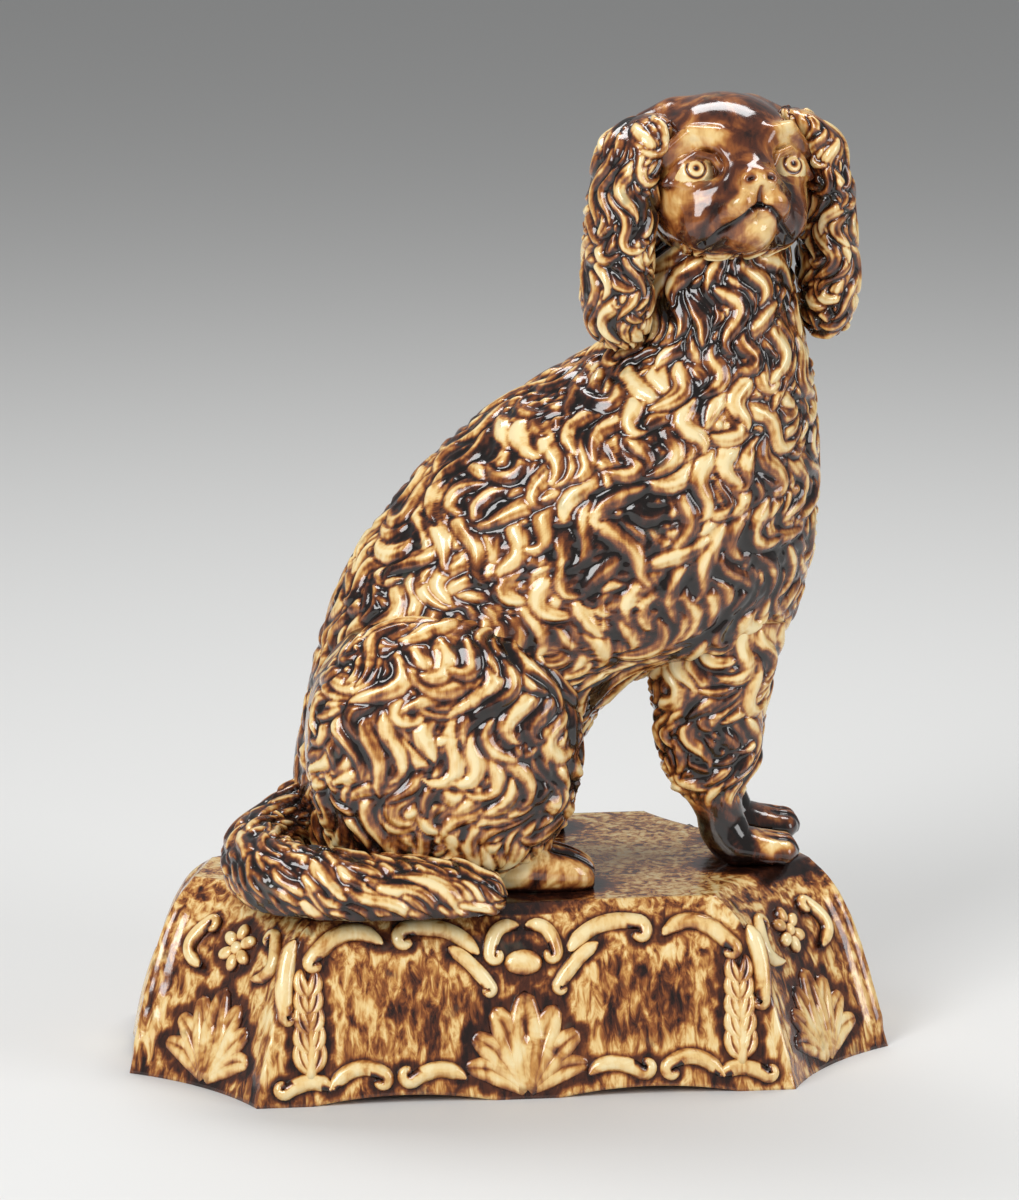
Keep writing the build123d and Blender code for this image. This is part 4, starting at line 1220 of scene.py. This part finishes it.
class Panel:
    """One face of the skirt, measured along its foot from its middle, and upwards."""

    def __init__(self, foot, out, half_run, bow=0.0, rate=1.0):
        self.foot, self.half_run, self.bow, self.rate = np.array(foot, float), half_run, bow, rate
        self.out = unit(np.array(out, float))
        self.along = np.cross([0, 0, 1.0], self.out)

    def normal(self, height):
        """Which way the skirt faces at a height."""
        _, slope = lean_at(height)
        return unit(self.out + np.multiply.outer(np.asarray(slope) * self.rate, [0, 0, 1.0]))

    def place(self, along, height, lift):
        """A point on the panel, lifted off its skin."""
        along, height, lift = np.broadcast_arrays(along, height, lift)
        lean, _ = lean_at(height)
        hollow = self.bow * np.clip(1 - (along / self.half_run) ** 2, 0, 1)
        return (
            self.foot
            + along[..., None] * self.along
            - (lean * self.rate + hollow)[..., None] * self.out
            + height[..., None] * np.array([0, 0, 1.0])
            + lift[..., None] * self.normal(height)
        )


corner_half = math.hypot(CANT_X, CANT_Y) / 2
front = Panel((0, -HALF_DEEP, 0), (0, -1, 0), HALF_LONG - CANT_X)
back = Panel((0, HALF_DEEP, 0), (0, 1, 0), HALF_BACK - CANT_X)
end_x = (HALF_LONG + HALF_BACK) / 2
ends = [Panel((side * end_x, 0, 0), (side * 60, 6.5, 0), 30.0) for side in (-1, 1)]
corners = [
    Panel((sx * (half - CANT_X / 2), sy * (HALF_DEEP - CANT_Y / 2), 0),
          (sx * CANT_Y, sy * CANT_X, 0), corner_half, CANT_BOW, 1.411)
    for half, sx, sy in ((HALF_LONG, -1, -1), (HALF_LONG, 1, -1), (HALF_BACK, 1, 1), (HALF_BACK, -1, 1))
]
print("panels", 2 + len(ends) + len(corners))

# %% [markdown]
# ## Leaves and bosses
#
# Palmettes, fronds and bosses were pressed in small moulds and stuck on with slip, which is called sprigging. All
# are made of one shape: a domed leaf with a vein, laid along a line. A fan of them is a palmette, pairs on a stem
# are a frond, and a short fat one is a boss.


# %% Leaf shapes
def leaflet(panel, spine, half, rise, vein=0.35, across=11):
    """A domed leaf with a vein, laid along a line on a panel, as points, faces and paint."""
    spine, half = np.asarray(spine, float), np.asarray(half, float)
    ahead = unit(np.gradient(spine, axis=0))
    side = np.stack([ahead[:, 1], -ahead[:, 0]], -1)
    q = np.linspace(-1, 1, across)
    flat = spine[:, None] + side[:, None] * (half[:, None] * q)[..., None]
    dome = np.sqrt(1 - q**2)[None] * (half / half.max())[:, None] ** 0.6
    fade = np.sin(np.pi * np.linspace(0.05, 0.95, len(spine)))
    furrow = vein * groove(q, 0.2)[None] * fade[:, None]
    lift = -0.35 + (rise + 0.35) * dome * (1 - furrow)
    points = panel.place(flat[..., 0], flat[..., 1], lift).reshape(-1, 3)
    rows = len(spine)
    index = np.arange(rows * across).reshape(rows, across)
    under = np.stack([index[:-1, -1], index[:-1, 0], index[1:, 0], index[1:, -1]], -1)
    faces = [grid_faces(rows, across, False), under, index[:1, ::-1].copy(), index[-1:].copy()]
    thin = 0.12 + 0.85 * dome * (1 - 0.63 * furrow / max(vein, 1e-6))
    return points, faces, np.stack([thin, np.full_like(thin, 0.5), np.zeros_like(thin)], -1).reshape(-1, 3)


def join_leaves(name, leaves, material):
    """One mesh from several closed leaves."""
    points, paints, blocks, start = [], [], [], 0
    for flat, faces, paint in leaves:
        middle = flat.mean(0)
        volume = 0.0
        for block in faces:
            for k in range(1, block.shape[1] - 1):
                a, b, c = (flat[block[:, n]] - middle for n in (0, k, k + 1))
                volume += (a * np.cross(b, c)).sum()
        blocks += [(block if volume > 0 else block[:, ::-1]) + start for block in faces]
        points.append(flat)
        paints.append(paint)
        start += len(flat)
    return closed_mesh(name, np.concatenate(points), blocks, np.concatenate(paints), material)


def fan(panel, foot_height, height, turns):
    """A palmette: pointed leaves that spring from one foot, the middle one tallest."""
    leaves = []
    t = np.linspace(0, 1, 16)
    for turn in turns:
        length = height * (1 - 0.28 * abs(turn) / 60)
        bend = np.radians(turn * (0.72 + 0.42 * t))
        spine = np.stack([np.sin(bend) * length * t, foot_height + np.cos(bend) * length * t], -1)
        half = length / 5.0 * (0.22 + 0.95 * np.sin(np.pi * np.clip(t * 0.80 + 0.14, 0, 1)) ** 0.9)
        half[-1] = 0.25
        leaves.append(leaflet(panel, spine, half, 2.0 - 0.012 * abs(turn), 0.55))
    return leaves


def frond(panel, middle, foot_height, height):
    """A stem with pairs of small leaves and one at its top."""
    t = np.linspace(0, 1, 12)
    stem = np.stack([middle + 0.7 * np.sin(5 * t), foot_height + height * t], -1)
    leaves = [leaflet(panel, stem, 1.5 * (1.15 - t) + 0.25, 1.9, 0.0)]
    for level in (0.06, 0.24, 0.42, 0.60, 0.76):
        for side in (-1, 1):
            turn = side * np.radians(62 - 45 * t)
            reach = (8.2 - 2.8 * level) * t
            root = foot_height + level * height
            spine = np.stack([middle + np.sin(turn) * reach, root + np.cos(turn) * reach + 1.5 * t], -1)
            half = 2.5 * np.sin(np.pi * np.clip(0.12 + 0.84 * t, 0, 1)) ** 0.8 + 0.12
            leaves.append(leaflet(panel, spine, half, 2.0, 0.4))
    return leaves


print("leaf shapes ready")

# %% Leaf sprigs
LARGE_FAN, SMALL_FAN = (-62, -40, -19, 19, 40, 62, 0), (-58, -37, -18, 18, 37, 58, 0)
long_sides = (front, back)
t = np.linspace(-1, 1, 18)
boss_line, boss_half = np.stack([5.5 * t, np.full(18, 36.25)], -1), 3.75 * np.sqrt(1 - 0.995 * t**2)
sprigs = [
    ("centre_palmettes", "centre_leaves", [fan(panel, 2.5, 26.6, LARGE_FAN) for panel in long_sides]),
    ("end_palmettes", "end_leaves", [fan(panel, 2.5, 26.6, LARGE_FAN) for panel in ends]),
    ("corner_palmettes", "corner_leaves", [fan(panel, 2.5, 24.6, SMALL_FAN) for panel in corners]),
    ("upright_fronds", "side_fronds", [frond(panel, x, 7.5, 28.5) for panel in long_sides for x in (-60, 60)]),
    ("cabochon_bosses", "centre_cabochons", [[leaflet(p, boss_line, boss_half, 2.1, 0.0)] for p in long_sides]),
]
sprig_lines = []
for label, node, groups in sprigs:
    leaves = [leaf for group in groups for leaf in group]
    sprig_lines += [(flat[::9], 2.2) for flat, _, _ in leaves]
    dress(join_leaves(label, leaves, sprig_glaze), "sprig_glaze", node)

# %% [markdown]
# ## Scrolls
#
# A scroll is a roll of clay that tapers and curls in at its ends. That is a sweep along a path, which Geometry
# Nodes does well: the path's own thickness attribute drives the size of the round profile.


# %% Sweep tree
def start_tree(name, label, kind, value):
    """A Geometry Nodes tree with one named size, its two ends, and that size's identifier."""
    tree = bpy.data.node_groups.new(name, "GeometryNodeTree")
    tree.interface.new_socket("Geometry", in_out="INPUT", socket_type="NodeSocketGeometry")
    size = tree.interface.new_socket(label, in_out="INPUT", socket_type=kind)
    size.default_value = value
    tree.interface.new_socket("Geometry", in_out="OUTPUT", socket_type="NodeSocketGeometry")
    given = new_node(tree, "NodeGroupInput", (-900, 0))
    taken = new_node(tree, "NodeGroupOutput", (900, 0))
    return tree, given, taken, size.identifier


def named_value(tree, name, kind, place):
    """A value that the source mesh carries."""
    node = new_node(tree, "GeometryNodeInputNamedAttribute", place, data_type=kind, Name=name)
    return node.outputs["Attribute"]


def end_tree(tree, geometry, taken, material):
    """Real copies and the glaze end every tree."""
    real = new_node(tree, "GeometryNodeRealizeInstances", (450, 0))
    coat_of = new_node(tree, "GeometryNodeSetMaterial", (650, 0), Material=material)
    tree.links.new(geometry, real.inputs["Geometry"])
    tree.links.new(real.outputs["Geometry"], coat_of.inputs["Geometry"])
    tree.links.new(coat_of.outputs["Geometry"], taken.inputs["Geometry"])


def sweep_tree(material):
    """Mesh edges to curves, swept with a round profile whose size comes from an attribute."""
    tree, given, taken, sides = start_tree("swept_scrolls", "Profile Sides", "NodeSocketInt", 8)
    curve = new_node(tree, "GeometryNodeMeshToCurve", (-600, 0))
    profile = new_node(tree, "GeometryNodeCurvePrimitiveCircle", (-400, -250), Radius=1.0)
    sweep = new_node(tree, "GeometryNodeCurveToMesh", (-150, 0), **{"Fill Caps": True})
    smooth = new_node(tree, "GeometryNodeSetShadeSmooth", (200, 0))
    link = tree.links.new
    link(given.outputs["Geometry"], curve.inputs["Mesh"])
    link(given.outputs["Profile Sides"], profile.inputs["Resolution"])
    link(curve.outputs["Curve"], sweep.inputs["Curve"])
    link(profile.outputs["Curve"], sweep.inputs["Profile Curve"])
    link(named_value(tree, "thickness", "FLOAT", (-400, 200)), sweep.inputs["Scale"])
    link(sweep.outputs["Mesh"], smooth.inputs["Geometry"])
    end_tree(tree, smooth.outputs["Geometry"], taken, material)
    return tree, sides


scroll_tree, sides_id = sweep_tree(sprig_glaze)
print("sweep tree with", len(scroll_tree.nodes), "nodes")

# %% [markdown]
# ### From a tree to a plain mesh
#
# The tree's result is kept as a plain mesh, because the finished piece may carry no modifier. Its glaze attribute
# is then painted from how far each point stands out from the path: cream on the crest, dark at the skirt.


# %% Keeping and painting the result
def keep_result(source, name, tree, values):
    """Runs a Geometry Nodes tree on a source object and keeps the result as a plain mesh object."""
    modifier = source.modifiers.new("build", "NODES")
    modifier.node_group = tree
    for key, value in values.items():
        modifier[key] = value
    depsgraph = bpy.context.evaluated_depsgraph_get()
    mesh = bpy.data.meshes.new_from_object(source.evaluated_get(depsgraph))
    mesh.name = name
    bpy.data.objects.remove(source)
    piece = bpy.data.objects.new(name, mesh)
    bpy.context.scene.collection.objects.link(piece)
    return piece


def paint_by_lift(piece, spots, facing, reach):
    """Glaze attribute from how far each vertex stands out from its path."""
    count = len(piece.data.vertices)
    where = np.zeros(count * 3)
    piece.data.vertices.foreach_get("co", where)
    where = where.reshape(-1, 3) / MM
    nearest = np.concatenate(
        [((part[:, None] - spots) ** 2).sum(-1).argmin(1) for part in np.array_split(where, max(count // 2000, 1))]
    )
    lift = ((where - spots[nearest]) * facing[nearest]).sum(-1) / reach[nearest]
    colour = np.ones((count, 4), np.float32)
    colour[:, 0] = 0.10 + 0.80 * smoothstep(-0.3, 0.9, lift)
    colour[:, 1], colour[:, 2] = 0.5, 0.0
    layer = piece.data.attributes.get("glaze") or piece.data.attributes.new("glaze", "FLOAT_COLOR", "POINT")
    layer.data.foreach_set("color", colour.ravel())


print("results can be kept")

# %% [markdown]
# ### The scrolls' paths
#
# Each scroll is drawn on its panel through three places and then curls in on itself. One table gives a side's
# scrolls, and it's mirrored about the middle and used for front and back alike.

# %% Scrolls
SIZE_ALONG, SCROLL_SIZE = [0, 0.03, 0.12, 0.45, 0.8, 0.97, 1], [0.15, 0.5, 0.9, 1.0, 0.72, 0.5, 0.2]


def scroll_path(start, middle, end, curl):
    """A bowed line through three places that curls in at its end."""
    start, middle, end = (np.asarray(v, float) for v in (start, middle, end))
    t = np.linspace(0, 1, 22)[:, None]
    control = 2 * middle - (start + end) / 2
    bow = (1 - t) ** 2 * start + 2 * t * (1 - t) * control + t**2 * end
    ahead = unit(bow[-1] - bow[-2])
    turn = np.sign(curl) * np.radians(np.linspace(0, 250, 14))[1:]
    heading = math.atan2(ahead[1], ahead[0]) + turn
    stride = abs(curl) * (1 - 0.045 * np.arange(13))
    loop = bow[-1] + np.cumsum(np.stack([np.cos(heading), np.sin(heading)], -1) * stride[:, None], axis=0)
    path = np.concatenate([bow, loop])
    return path, np.interp(np.linspace(0, 1, len(path)), SIZE_ALONG, SCROLL_SIZE)


def make_scrolls(name, node, jobs, thickness):
    """Sweeps all the scrolls of one node."""
    points, sizes, facing, edges = [], [], [], []
    for panel, start, middle, end, curl in jobs:
        path, size = scroll_path(start, middle, end, curl)
        radius = thickness * size
        first = sum(len(part) for part in points)
        points.append(panel.place(path[:, 0], path[:, 1], 2.15 - radius))
        sizes.append(radius)
        facing.append(panel.normal(path[:, 1]))
        edges += [(first + k, first + k + 1) for k in range(len(path) - 1)]
        sprig_lines.append((points[-1], thickness * 0.9))
    points, sizes, facing = np.concatenate(points), np.concatenate(sizes), np.concatenate(facing)
    mesh = bpy.data.meshes.new(name + "_paths")
    mesh.from_pydata((points * MM).tolist(), edges, [])
    layer = mesh.attributes.new("thickness", "FLOAT", "POINT")
    layer.data.foreach_set("value", (sizes * MM).astype(np.float32))
    source = bpy.data.objects.new(name + "_paths", mesh)
    bpy.context.scene.collection.objects.link(source)
    piece = keep_result(source, name, scroll_tree, {sides_id: 10})
    paint_by_lift(piece, points, facing, sizes)
    dress(piece, "sprig_glaze", node)


def both_ways(panels, scrolls):
    """Scrolls on each panel and mirrored about its middle."""
    return [
        (panel, *((side * x, z) for x, z in places), side * curl)
        for panel in panels
        for side in (-1, 1)
        for *places, curl in scrolls
    ]


SCROLLS = [
    ("hood_curls", "hood_scrolls", long_sides, 2.3, [
        ((0.8, 45.0), (6.6, 44.6), (9.4, 38.6), -0.55), ((21.0, 40.5), (15.2, 36.8), (9.4, 30.0), 0.3),
    ]),
    ("arch_curls", "arch_scrolls", long_sides, 2.8, [
        ((12.5, 38.5), (21.0, 44.8), (33.0, 45.4), -0.75), ((39.0, 41.8), (48.5, 45.2), (59.0, 38.6), -0.45),
        ((63.0, 43.5), (66.0, 36.0), (66.5, 24.0), -0.3),
    ]),
    ("foot_curls", "foot_scrolls", long_sides, 2.6, [
        ((17.0, 6.0), (24.0, 8.8), (32.0, 6.0), 0.65), ((55.0, 4.2), (47.5, 9.6), (39.5, 8.0), 0.6),
        ((53.5, 4.5), (60.0, 6.6), (67.0, 4.0), 0.45),
    ]),
    ("corner_curls", "corner_scrolls", corners, 2.3, [((9.8, 30.5), (16.0, 35.0), (12.4, 42.0), 0.5)]),
]
for label, node, panels, thickness, scrolls in SCROLLS:
    make_scrolls(label, node, both_ways(panels, scrolls), thickness)

# %% [markdown]
# ## Flowers
#
# A corner flower repeats one petal round a bead. A second tree puts a ball, stretched to a petal, on points that
# carry two directions each: the way the skirt faces there, and the way out from the flower's middle.


# %% Petal tree
PETAL_SIZE = (0.0034, 0.0024, 0.0020)


def petal_tree(material):
    """One rounded petal instanced on points that carry a facing and an outward direction."""
    tree, given, taken, size_id = start_tree("petals_on_points", "Petal Size", "NodeSocketVector", PETAL_SIZE)
    ball = new_node(tree, "GeometryNodeMeshUVSphere", (-700, -250), Segments=16, Rings=10, Radius=1.0)
    smooth = new_node(tree, "GeometryNodeSetShadeSmooth", (-450, -250))
    turn_z = new_node(tree, "FunctionNodeAlignRotationToVector", (-450, 300), axis="Z")
    turn_x = new_node(tree, "FunctionNodeAlignRotationToVector", (-250, 300), axis="X", pivot_axis="Z")
    size = new_node(tree, "ShaderNodeVectorMath", (-450, -50), operation="MULTIPLY")
    put = new_node(tree, "GeometryNodeInstanceOnPoints", (0, 0))
    link = tree.links.new
    link(named_value(tree, "facing", "FLOAT_VECTOR", (-700, 300)), turn_z.inputs["Vector"])
    link(turn_z.outputs["Rotation"], turn_x.inputs["Rotation"])
    link(named_value(tree, "outward", "FLOAT_VECTOR", (-700, 150)), turn_x.inputs["Vector"])
    link(given.outputs["Petal Size"], size.inputs[0])
    link(named_value(tree, "growth", "FLOAT_VECTOR", (-700, -50)), size.inputs[1])
    link(ball.outputs["Mesh"], smooth.inputs["Geometry"])
    link(given.outputs["Geometry"], put.inputs["Points"])
    link(smooth.outputs["Geometry"], put.inputs["Instance"])
    link(turn_x.outputs["Rotation"], put.inputs["Rotation"])
    link(size.outputs["Vector"], put.inputs["Scale"])
    end_tree(tree, put.outputs["Instances"], taken, material)
    return tree, size_id


flower_tree, petal_size_id = petal_tree(sprig_glaze)
print("petal tree with", len(flower_tree.nodes), "nodes")

# %% Flowers
PETALS, FLOWER_HEIGHT, FLOWER_RADIUS = 6, 37.0, 3.7
spots, facing, outward, growth = [], [], [], []
for panel in corners:
    for k in range(PETALS + 1):
        turn, bead = 2 * np.pi * k / PETALS, k == PETALS
        ring = 0.0 if bead else FLOWER_RADIUS
        height = FLOWER_HEIGHT + ring * math.cos(turn)
        spots.append(panel.place(ring * math.sin(turn), height, 0.35 if bead else 0.1))
        facing.append(panel.normal(FLOWER_HEIGHT))
        outward.append(math.sin(turn) * panel.along + math.cos(turn) * np.array([0, 0, 1.0]))
        growth.append((0.62, 0.88, 0.92) if bead else (0.85, 0.85, 0.9))
flower_mesh = bpy.data.meshes.new("flower_points")
flower_mesh.from_pydata((np.array(spots) * MM).tolist(), [], [])
for label, values in (("facing", facing), ("outward", outward), ("growth", growth)):
    layer = flower_mesh.attributes.new(label, "FLOAT_VECTOR", "POINT")
    layer.data.foreach_set("vector", np.array(values, np.float32).ravel())
flower_source = bpy.data.objects.new("flower_points", flower_mesh)
bpy.context.scene.collection.objects.link(flower_source)
flowers = keep_result(flower_source, "corner_blossoms", flower_tree, {petal_size_id: PETAL_SIZE})
paint_by_lift(flowers, np.array(spots), np.array(facing), np.full(len(spots), 1.9))
sprig_lines += [(flower, 4.5) for flower in np.split(np.array(spots), len(corners))]
dress(flowers, "sprig_glaze", "corner_flowers")

# %% [markdown]
# ## Plinth
#
# The plinth is a hollow moulded box with a rounded shoulder and low arches in the rim that leave feet. Its skin is
# one grid that starts at the rim, climbs the skirt, crosses the table to the vent under the dog, drops through it
# and comes back down inside, so that it closes on itself.


# %% Plinth's plan
def outline(grow, steps):
    """The plinth's plan as a ring of points, grown or drawn in, with so many steps on each side."""
    fx, bx, hy = HALF_LONG + grow, HALF_BACK + grow, HALF_DEEP + grow
    bow_x, bow_y = CANT_BOW * CANT_Y / (2 * corner_half), CANT_BOW * CANT_X / (2 * corner_half)
    legs = [
        ((CANT_X - fx, -hy), (fx - CANT_X, -hy), 0), ((fx - CANT_X, -hy), (fx, CANT_Y - hy), 1),
        ((fx, CANT_Y - hy), (bx, hy - CANT_Y), 0), ((bx, hy - CANT_Y), (bx - CANT_X, hy), 1),
        ((bx - CANT_X, hy), (CANT_X - bx, hy), 0), ((CANT_X - bx, hy), (-bx, hy - CANT_Y), 1),
        ((-bx, hy - CANT_Y), (-fx, CANT_Y - hy), 0), ((-fx, CANT_Y - hy), (CANT_X - fx, -hy), 1),
    ]
    ring = []
    for (start, end, hollow), count in zip(legs, steps):
        share = (np.arange(count) / count)[:, None]
        start, end = np.array(start), np.array(end)
        line = start + (end - start) * share
        middle = (start + end) / 2
        inward = -np.sign(middle) * [bow_x, bow_y] * hollow
        ring.append(line + inward * 4 * share * (1 - share))
    return np.concatenate(ring)


STEPS = (136, 48, 56, 48, 126, 48, 56, 48)
foot_ring = outline(0.0, STEPS)
COLUMNS_ROUND = len(foot_ring)
print("points round the plinth", COLUMNS_ROUND)

# %% Plinth's skin
VENT_X, VENT_RADIUS, TABLE_CLAY, WALL_CLAY = -19, 7, 7, 6.0
CEILING = TABLE - TABLE_CLAY
SKIRT_ROWS, TABLE_ROWS = 66, 61


def level(plan, height):
    """A ring of points at a height, or at a height for each."""
    return np.column_stack([plan, np.broadcast_to(height, len(plan))])


turn = np.arctan2(foot_ring[:, 1], foot_ring[:, 0])
vent = np.stack([VENT_X + VENT_RADIUS * np.cos(turn), VENT_RADIUS * np.sin(turn)], -1)
x, y = foot_ring.T
long_arch = np.where(np.abs(np.abs(y) - HALF_DEEP) < 0.1, (np.abs(x) - 34.25) / 25.25, 2)
end_arch = np.where(np.abs(x) > HALF_BACK - 0.1, y / 21.0, 2)
arch = 2.5 * (np.clip(1 - long_arch**2, 0, 1) + np.clip(1 - end_arch**2, 0, 1))
rows = []
for share in 1 - (1 - np.linspace(0, 1, SKIRT_ROWS)) ** 1.15:
    plan = outline(-float(lean_at(share * TABLE)[0]), STEPS)
    rows.append(level(plan, arch + (TABLE - arch) * share))
top = rows[-1][:, :2]
rows += [level(top + (vent - top) * share, TABLE) for share in np.linspace(0, 1, TABLE_ROWS + 1)[1:]]
rows.append(level(vent, CEILING))
inside_top = outline(-26.0, STEPS)
rows += [level(vent + (inside_top - vent) * share, CEILING) for share in (0.25, 0.5, 0.75, 1.0)]
for height in (38.0, 30.0, 20.0, 10.0):
    rows.append(level(outline(-WALL_CLAY - float(lean_at(height * TABLE / CEILING)[0]), STEPS), height))
rows.append(level(outline(-WALL_CLAY, STEPS), arch))
plinth_points = np.array(rows)
shown = plinth_points[:SKIRT_ROWS + TABLE_ROWS]
skirt = shown[:SKIRT_ROWS]
print("plinth's grid", plinth_points.shape[:2])

# %% [markdown]
# ### Where the glaze pools and contact shade is painted
#
# Glaze runs down and gathers round whatever stands in its way, and contact shade is painted there as well: round
# each sprig on the skirt, and round the paws, the thighs, the body and the tail on the table. Distances from those
# pieces set how dark the plinth is there, for the glaze pools and the painted shade alike.

# %% Pools and painted shade on the plinth
spread = skirt.reshape(-1, 3)
sprig_gap = np.full(len(spread), 99.0)
for line, width in sprig_lines:
    box = (np.abs(spread - line.mean(0)) < np.ptp(line, axis=0) / 2 + 9).all(-1)
    gap = np.sqrt(((spread[box][:, None] - line[None]) ** 2).sum(-1).min(1)) - width
    sprig_gap[box] = np.minimum(sprig_gap[box], gap)
sprig_gap = sprig_gap.reshape(SKIRT_ROWS, -1)
STANDING = [
    (71.5, -15, 13.5, 9), (76.5, 13, 13.5, 9), (8.5, -32, 15, 9.5), (8.5, 32, 15, 9.5), (-19, -33, 38, 18),
    (-14, 33, 34, 18), (-27, 0, 31, 38),
]
SHOULDER = SKIRT_ROWS - 6
table = shown[SHOULDER:]
tail_gap, _ = distance_to_path(table.reshape(-1, 3), tail_path[::10])
stand = tail_gap.reshape(table.shape[:2]) - 10
for foot_x, foot_y, length, width in STANDING:
    away = np.hypot((table[..., 0] - foot_x) / length, (table[..., 1] - foot_y) / width)
    stand = np.minimum(stand, (away - 1) * min(length, width))
# The inside of the plinth is darker throughout. Round the sprigs and the standing pieces the skirt and the table
# take painted contact shade as well as pools of glaze.
glaze_pool_and_shade = np.full(plinth_points.shape[:2], 0.35)
glaze_pool_and_shade[:len(shown)] = 0
glaze_pool_and_shade[:SKIRT_ROWS] = 0.6 * smoothstep(1.5, -0.2, sprig_gap)
glaze_pool_and_shade[SHOULDER:len(shown)] = np.maximum(glaze_pool_and_shade[SHOULDER:len(shown)], 0.7 * smoothstep(6, 0.5, stand))
print("pieces with glaze pools and painted shade round them", len(sprig_lines) + len(STANDING) + 1)

# %% [markdown]
# ### Ribs and the finished plinth
#
# A thin rib marks each edge of the canted corners, and the skirt sags in faint waves, as thick glaze does. The
# last row of the grid joins the first, so the plinth is one closed skin.

# %% Ribs and the finished plinth
COLUMN_WIDTH = 1.07
down, along = steps_of(shown, True)
skirt_normal = unit(np.cross(along, down))[:SKIRT_ROWS]
if np.median((skirt_normal * (skirt - [0, 0, 20])).sum(-1)) < 0:
    skirt_normal = -skirt_normal
column, half_round = np.arange(COLUMNS_ROUND), COLUMNS_ROUND // 2
edge_at = np.concatenate([[0], np.cumsum(STEPS)[:-1]])
edge_gap = np.abs((column[:, None] - edge_at + half_round) % COLUMNS_ROUND - half_round).min(1) * COLUMN_WIDTH
up_skirt = skirt[..., 2]
climb = smoothstep(4, 9, up_skirt) * smoothstep(TABLE, TABLE - 6, up_skirt)
rib = (groove(edge_gap, 1.3) + 0.7 * groove(edge_gap - 3.6, 1.1)) * climb
sag = 0.25 * np.sin(up_skirt * 0.9 + np.sin(column * 0.11) * 1.4) * climb * smoothstep(0.5, 4, sprig_gap)
thin = np.full(plinth_points.shape[:2], 0.62)
thin[:SKIRT_ROWS] = 0.62 + 0.25 * rib - 0.05 * (1 - climb) - 0.14 * smoothstep(2, 7, sprig_gap)
thin[SKIRT_ROWS - 4:SKIRT_ROWS + 3] = 0.62
paint = paint_of(thin, np.full(thin.shape, 0.5), glaze_pool_and_shade)
plinth_points[:SKIRT_ROWS] += skirt_normal * (0.75 * rib + 0.2 * sag)[..., None]
index = np.arange(thin.size).reshape(thin.shape)
index = np.pad(index, ((0, 1), (0, 1)), mode="wrap")
faces = np.stack([index[:-1, :-1], index[:-1, 1:], index[1:, 1:], index[1:, :-1]], -1).reshape(-1, 4)
plinth = closed_mesh("moulded_plinth", plinth_points.reshape(-1, 3), [faces], paint.reshape(-1, 3), plinth_glaze)
dress(plinth, "plinth_glaze", "plinth_shell")
